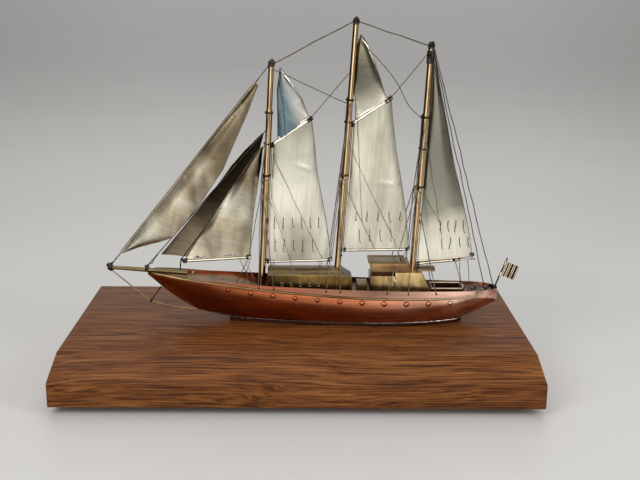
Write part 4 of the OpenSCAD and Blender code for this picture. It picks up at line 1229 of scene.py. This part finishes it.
# Halyards that come down the port side of the gaff sails
for a, b, seed, sheet in (
        ((-19, -2.6, 118), (16, -1.4, 44.5), 16.0, fore_sheet),
        ((-22, -2.9, 92), (-2, -8, 33), 17.0, fore_sheet),
        ((31, -2.6, 128), (68, -1.8, 52.4), 18.0, main_sheet),
        ((29.6, -2.6, 98), (52, -3, 52), 19.0, main_sheet),
        ((-13.5, -3.2, 170), (-9.5, -2.4, 130), 21.0, None),
        ((84, -2.6, 130), (98, -2.6, 62), 22.0, mizzen_sheet),
        ((83, -2.6, 92), (97, -2.4, 70), 23.0, mizzen_sheet),
        ((37.5, -3, 150), (43, -2.4, 70), 24.0, main_sheet)):
    path = []
    for i in range(13):
        q = Vector(a).lerp(Vector(b), i / 12)
        q += Vector((rand(seed, i), 0, rand(seed, i + 40))) * 0.3
        if sheet:
            q.y = min(q.y, front_y(sheet, q.x, q.z, q.y) - 0.4)
        path.append(at(*q))
    lifts.append((path, 0.18))
# Tackles from the staysail boom to the deck
for side in (-1, 1):
    for x, lean, y, z, foot_x, foot_y, radius, seed, wobble in (
            (-38, 3.4, 0.5, 44.2, -38, 0.5, 0.3, 25.0, 0.3),
            (-36, 2.4, 1.0, 44.0, -33, 3.5, 0.22, 28.0, 0.4)):
        foot = foot_x - 5 * side
        lifts.append(taut((x + lean * side, y * side, z), (foot, foot_y * side, deck_z(foot)),
                          radius, seed + side, wobble))
# Pairs of sheets from two places on a boom to one point below it, as [x, z]
for a, low, b in (((12.6, 43), (14.4, 38), (16.2, 43.2)), ((67, 51), (70.6, 44.2), (74.6, 51.2)),
                  ((108, 44), (113.6, 23.2), (111.4, 44.4))):
    for (x, z), part, way in ((a, 0.6, -1), (b, 0.4, 1)):
        middle = (lerp(x, low[0], part), 0.4 * way, lerp(z, low[1], 0.5))
        lifts.append((curve([(x, 0, z), middle, (low[0] + 0.3 * way, 0, low[1])], 5), 0.24))
    lifts.append(knot((low[0], 0, low[1] + 0.3), 0.6, low[0], 2.6, 18, 0.24))
    lifts.append(knot(((a[0] + b[0]) / 2, 0, a[1] - 0.6), 0.8, a[0] + 1, 2.2, 18, 0.22))
lifts.append(taut((117, 0, 45), (119, 0, 23.2), 0.26, 31.0, 0.8))
lifts.append(knot((118.6, 0, 25), 0.8, 6.0, 3, 26, 0.24))
lifts.append(taut((70.6, 0, 44.2), (70.4, 0, 45.4), 0.24, 33.0))
# Loose bunches of line on the after deck
for x, y, size in ((119, -4.4, 1.0), (124, 3.0, 1.1), (127.5, -4.0, 0.9), (131, 1.0, 1.2),
                   (116, 4.0, 0.9), (133, -2.2, 0.8), (121.5, 0.6, 0.8)):
    lifts.append(knot((x, y, deck_z(x) + size * 0.7), size, x + y, 3.0, 22, 0.24))
wires("running_wires", lifts, dull_wire, ["sheets_and_lifts"])

knots = []


def whip(m, z, turns=2.6, both=True, r=0.24, pitch=0.46):
    """A few turns of wire round a mast, or round a mast and its topmast together."""
    if both:
        c = Vector((mast_x(m, z), TOP_SIDE / 2 - 0.25, z))
        knots.append((coil_path(c, (m[1], 0, 1), 2.25 + r, turns, pitch, wide=1.75, per=22), r))
    else:
        knots.append((coil_path(Vector((mast_x(m, z), 0, z)), (m[1], 0, 1), LOWER_R + r * 0.8, turns,
                                pitch, per=16), r))
    knots.append((tangle((mast_x(m, z) - 2.4, -2.0, z + 0.2), 0.75, z, 2.4, 18), r * 0.8))


for m in MASTS.values():
    whip(m, m[4] - 1.8)
    whip(m, m[3] + 0.6)
whip(FORE, 124.5, 1.6)
whip(MAIN, 139.5, 1.6)
whip(MIZZEN, 122, 1.6)
wires("mast_bindings", knots, black_wire, ["mast_caps"])

heads = []
for m in MASTS.values():
    top = upper(m, m[2])
    heads.append((coil_path(top - Vector((0, 0, 1.6)), (m[1], 0, 1), 1.95, 4.6, 0.72, per=14), 0.36))
    heads.append((tangle(top + Vector((0.2, 0, 0.1)), 1.7, m[2], 4.2, 36), 0.4))
    heads.append((tangle(top + Vector((1.0, -0.6, -1.4)), 1.5, m[2] + 3, 3.0, 24), 0.3))
heads.append((coil_path(upper(MIZZEN, 182.8), (MIZZEN[1], 0, 1), 2.1, 11, 0.78, per=14), 0.45))
wires("masthead_knots", heads, black_wire)

trees = []
for m in MASTS.values():
    x = mast_x(m, m[3]) - LOWER_R - 0.4
    trees.append(([at(x, lerp(-7.35, 7.35, i / 8) + TOP_SIDE / 2, m[3] - 1.4 + 0.12 * rand(i, m[0]))
                   for i in range(9)], 0.58))
    for end in (-1, 1):
        trees.append((coil_path((x, end * 6.8 + TOP_SIDE / 2, m[3] - 1.4), (0, 1, 0), 0.82, 2.2, 0.6,
                                side=(1, 0, 0)), 0.28))
wires("crosstree_bars", trees, dull_wire, ["crosstrees"])

SPRIT_AXIS = (1, 0, -0.07)
wires("bow_bindings", [
    (coil_path((-130.6, 0, 37.0), SPRIT_AXIS, 1.55, 4.4, 0.75, per=14), 0.42),
    knot((-131.0, 0, 38.2), 2.0, 3.0, 3.4, 28, 0.5),
    knot((-129.8, 0, 36.2), 1.9, 7.0, 3.2, 26, 0.45),
    (smooth_path([at(-131, 0, 37.6), at(-129.6, 0.7, 40), at(-127.4, -0.6, 41.6),
                  at(-126.6, 0, 43.6)], 5), 0.34),
    (coil_path((-105.4, 0, 36.6), SPRIT_AXIS, 1.9, 3.2, 0.8, per=14), 0.36),
    (smooth_path([at(-105.6, 0, 38.2), at(-103.6, 0.8, 39.6), at(-101.4, -0.6, 40.4),
                  at(-100.2, 0, 43), at(-97.6, 0, 46.2)], 5), 0.32),
    knot((-103.2, 0, 12.8), 1.0, 4.0, 3.0, 22, 0.34),
    knot((-93.2, 0, 47.4), 0.7, 8.0, 2.4, 18, 0.26)], black_wire)
wires("bobstay_wire", [
    (curve([(-130.9, 0, 36), (-117, 0.1, 24.0), (-103.4, 0, 12.5)]), 0.48),
    (curve([(-103.4, 0, 12.5), (-91.5, 0, 9.4), (-79.8, 0, 7.6), (-70.8, 0, 6.9)]), 0.48)],
    rail_brass, ["bobstay"], "bright_brass")
wires("striker_bar", [([at(-103.1, 0, 12.9), at(-99.4, 0, 18.2), at(-95.9, 0, 23.4)], 0.45)],
      black_wire, ["dolphin_striker"])
wires("boom_post", [
    (curve([(-82, 0, 33.7), (-82.2, 0, 38), (-81.6, 0, 42.4)], 4), 0.45),
    knot((-81.3, 0, 42.6), 0.95, 11.0, 3.0, 24, 0.32),
    (coil_path((-79.6, 0, 41.9), (1, 0, 0.07), 1.35, 2.4, 0.7, per=14), 0.3)],
    black_wire, ["staysail_post"])

ties = []
# Wire wraps where the spars meet the masts and at their ends: [direction, [x, z] places]
for axis, places in (
        ((27.4, 0, 18.8), ((-18.4, 123.4), (5.6, 139.9), (7.2, 141.0))),
        ((26.9, 0, 17.8), ((35.4, 138.3), (57.4, 152.9), (59.6, 154.3))),
        ((1, 0, 0.07), ((-78.2, 41.9), (-36, 44.8))), ((1, 0, 0.04), ((-21.6, 41.9), (20.6, 43.4))),
        ((1, 0, 0.02), ((31.2, 50.5), (74.2, 51.4))), ((1, 0, 0.14), ((82.6, 40.9), (107.2, 44.2)))):
    for x, z in places:
        ties.append((coil_path((x, 0, z), axis, 1.4, 2.6, 0.62, per=14), 0.27))
        ties.append(knot((x + 0.4, -0.6, z + 1.2), 0.85, x, 2.5, 18, 0.23))
for p, size, seed in (((6.8, -0.3, 141.2), 2.2, 41.0), ((60.0, -0.3, 155.0), 2.2, 42.0),
                      ((-18.6, -1, 122.6), 1.7, 43.0), ((34.8, -1, 137.2), 1.5, 44.0),
                      ((-23.2, -1, 43.0), 1.1, 45.0), ((28.6, -1.6, 50.0), 1.2, 46.0),
                      ((29.0, -1.6, 47.0), 1.0, 47.0), ((81.2, -1, 41.0), 1.0, 48.0),
                      ((110.6, 0, 45.6), 1.7, 49.0), ((119.8, 0, 47.6), 1.8, 50.0),
                      ((-34.2, 0, 46.2), 0.9, 51.0), ((22.2, 0, 44.8), 0.8, 52.0),
                      ((75.6, 0, 52.6), 0.9, 53.0), ((-13.0, -0.3, 173.4), 0.7, 54.0),
                      ((41.5, -0.3, 193.4), 0.7, 55.0)):
    ties.append(knot(p, size, seed, 3.0, 26, 0.25))
for word in ("fore_gaff", "main_gaff"):
    a, b = Vector(SPARS[word][0]), Vector(SPARS[word][1])
    for dz in (1.35, -1.35):
        ties.append(taut(a + Vector((1, -0.3, dz + 0.3)), b + Vector((-0.5, -0.3, dz)), 0.26, dz))
wires("spar_bindings", ties, black_wire)

shine = []
for x, z, size in ((-71.6, 44.4, 0.9), (-69.8, 45.2, 1.3), (-67.6, 44.8, 1.1), (-65.6, 45.3, 0.7),
                   (-50.6, 46.2, 0.8), (-48.8, 46.8, 1.1), (-46.8, 46.6, 0.7), (-44.4, 46.8, 0.6)):
    shine.append(knot((x, -0.7, z), size, x, 1.6, 12, 0.42))
shine.append(knot((-73.8, -1.0, 33.6), 0.9, 6.0, 1.4, 12, 0.45))
shine.append(knot((-70.2, 0, 6.9), 0.55, 9.0, 1.4, 12, 0.4))
wires("solder_beads", shine, solder, slot="solder")

# Each row of reef points: [sail, first x, step, count, height, length]
REEFS = ((fore_sheet, -17, 6.1, 6, 73.6, 7), (fore_sheet, -16.6, 6.4, 5, 57.8, 8.2),
         (main_sheet, 38.9, 7.5, 5, 78, 6.2), (main_sheet, 41.2, 7.2, 4, 65.4, 8.2),
         (mizzen_sheet, 96.8, 5.3, 4, 72.2, 7.6), (mizzen_sheet, 98, 6.2, 4, 60.2, 7))
bpy.context.view_layer.update()
reefs = []
for k, (sheet, x0, step, count, top, length) in enumerate(REEFS):
    for i in range(count):
        x = x0 + i * step
        for side in (-1, 1):
            tilt = 0.9 * rand(i, k * 3.1)
            long = length * (1 + 0.12 * rand(i, k + 0.7))
            y = front_y(sheet, x, top - 2) + 0.2 + side * 0.5
            line = [(0.1, -0.5, 0), (0, 0.25, 0.1), (0.35 * rand(i, k), 0.45, 0.45 * long),
                    (tilt, 0.1, long), (tilt + 0.7, 0.35, long + 0.15)]
            reefs.append((smooth_path([at(x + dx, y + side * dy, top - dz) for dx, dy, dz in line],
                                      4), 0.19))
bars("reef_wires", reefs, black_wire, sides=6, replaces=["reef_points"], slot="dark_wire")

# ---- flagstaff and ensign ----

STAFF_A, STAFF_B = Vector((136.9, 0, 24.5)), Vector((144.7, 0, 45.4))
STAFF_DIR = (STAFF_B - STAFF_A).normalized()
STAFF_OUT = Vector((STAFF_DIR.z, 0, -STAFF_DIR.x))
wires("staff_wire", [(straight(STAFF_A, STAFF_B, 2), 0.56),
                     knot(STAFF_A + Vector((0, 0, 0.6)), 0.9, 3.0, 2.6, 20, 0.3)],
      black_wire, ["flag_staff"])


def ensign():
    """A waved sheet, and two open collars that hold it to the staff without touching it."""
    foot, hoist, fly, wave, t, gap = 9.2, 10.5, 9.5, 0.85, 0.35, 0.75
    cols, rows, n = 72, 20, 20
    front, back = [], []
    for i in range(rows + 1):
        for j in range(cols + 1):
            u = j / cols
            y = wave * math.sin(6 * math.pi * u) * min(1, 5 * u)
            ragged = 0.25 * rand(i, 2.0) * (u > 0.98)
            p = STAFF_A + STAFF_OUT * (gap + u * fly + ragged) + STAFF_DIR * (foot + i / rows * hoist)
            front.append(at(p.x, y - t / 2, p.z))
            back.append(at(p.x, y + t / 2, p.z))
    verts, faces = front + back, plate_faces(cols, rows)
    side = Vector((0, 1, 0))
    angles = [math.radians(lerp(-160, 160, j / (n - 1))) for j in range(n)]
    for z in (foot, foot + hoist - 2.5):
        first = len(verts)
        for k in range(6):
            for r, order in ((1.12, angles), (0.6, angles[::-1])):
                verts += [at(*(STAFF_A + (STAFF_OUT * math.cos(a) + side * math.sin(a)) * r
                               + STAFF_DIR * (z + k / 2))) for a in order]
        faces += ring_faces(6, 2 * n, first)
    mesh_piece("ensign_sheet", verts, faces, flag_brass, angle=50, replaces=["ensign"],
               slot="bright_brass", body="flag")


ensign()

# ---- any CAD node still without a finish ----

for obj in nodes.values():
    if not obj.data.materials or obj.data.materials[0] is None:
        obj.data.materials.append(spar_brass)

# ---- stage ----


def stage_floor():
    bm = bmesh.new()
    bmesh.ops.create_grid(bm, x_segments=2, y_segments=2, size=40.0)
    mesh = bpy.data.meshes.new("stage_floor")
    bm.to_mesh(mesh)
    bm.free()
    obj = place_object("stage_floor", mesh)
    m, tree, shader = new_material("stage_floor")
    cloud = noise_node(tree, coords(tree), 3, 3, 0.5)
    link(tree, ramp(tree, cloud, [(0.3, (0.70, 0.69, 0.67)), (0.7, (0.74, 0.73, 0.71))]),
         shader.inputs["Base Color"])
    shader.inputs["Roughness"].default_value = 0.3
    shader.inputs["Specular IOR Level"].default_value = 0.3
    mesh.materials.append(m)


def area_light(name, place, target, size, power, color=(1, 1, 1)):
    """A rectangular light, size wide and high, that the camera does not see."""
    light = bpy.data.lights.new(name, "AREA")
    light.energy = power
    light.color = color
    light.shape = "RECTANGLE"
    light.size, light.size_y = size
    obj = place_object(name, light)
    obj.location = place
    obj.rotation_euler = (Vector(target) - Vector(place)).to_track_quat("-Z", "Y").to_euler()
    obj.visible_camera = False


def studio():
    world = bpy.data.worlds.new("studio")
    bpy.context.scene.world = world
    world.use_nodes = True
    tree = world.node_tree
    bg = tree.nodes["Background"]
    view = tree.nodes.new("ShaderNodeTexCoord").outputs["Generated"]
    parts = add_node(tree, "SeparateXYZ", {"Vector": view}).outputs
    # Pale wall behind the model, darker room to its left and right
    depth = map_range(tree, parts["Y"], -0.9, 0.6, 0.0, 1.0)
    front = ramp(tree, depth, [(0.0, (0.50, 0.49, 0.48)), (0.3, (0.30, 0.295, 0.29)),
                               (0.55, (0.34, 0.335, 0.33)), (1.0, (0.66, 0.65, 0.64))])
    across = map_range(tree, parts["X"], -1.0, 1.0, 0.0, 1.0)
    sides = ramp(tree, across, [(0.0, (0.30, 0.29, 0.28)), (0.2, (0.22, 0.215, 0.21)),
                                (0.42, (1.0, 1.0, 1.0)), (0.6, (1.0, 1.0, 1.0)),
                                (0.8, (0.18, 0.175, 0.17)), (1.0, (0.45, 0.45, 0.46))])
    link(tree, mix(tree, 1.0, front, sides, "MULTIPLY"), bg.inputs["Color"])
    bg.inputs["Strength"].default_value = 1.0
    area_light("window_left", (-0.8, -0.9, 0.9), (0, 0, 0.08), (0.6, 0.6), 7, (1.0, 0.985, 0.965))
    area_light("window_right", (1.0, -0.6, 0.7), (0.05, 0, 0.05), (0.4, 0.6), 5, (0.97, 0.98, 1.0))
    area_light("overhead", (0.0, 0.35, 1.5), (0, 0, 0.1), (1.6, 1.6), 8)
    area_light("room", (-0.15, -2.0, 0.55), (0, 0, 0.12), (2.4, 1.1), 10.5, (1, 0.99, 0.97))


# The camera's place; it looks down and a little towards the stern, and leans anticlockwise
CAMERA_PLACE = Vector((0.0035, -0.6444, 0.2688))
PITCH, YAW, ROLL = [math.radians(q) for q in (14.96, 0.97, 0.64)]
LENS = 54.1


def camera():
    flat, up0 = Vector((math.sin(YAW), math.cos(YAW), 0)), Vector((0, 0, 1))
    forward = flat * math.cos(PITCH) - up0 * math.sin(PITCH)
    up = up0 * math.cos(PITCH) + flat * math.sin(PITCH)
    right = Vector((math.cos(YAW), -math.sin(YAW), 0))
    r = right * math.cos(ROLL) + up * math.sin(ROLL)
    u = up * math.cos(ROLL) - right * math.sin(ROLL)
    data = bpy.data.cameras.new("camera")
    data.sensor_width = 36
    data.sensor_fit = "HORIZONTAL"
    data.lens = LENS
    data.clip_start, data.clip_end = 0.01, 20
    obj = place_object("camera", data)
    m = Matrix((r, u, -forward)).transposed().to_4x4()
    m.translation = CAMERA_PLACE
    obj.matrix_world = m
    bpy.context.scene.camera = obj
    bpy.context.scene.view_settings.view_transform = "Standard"


stage_floor()
studio()
camera()
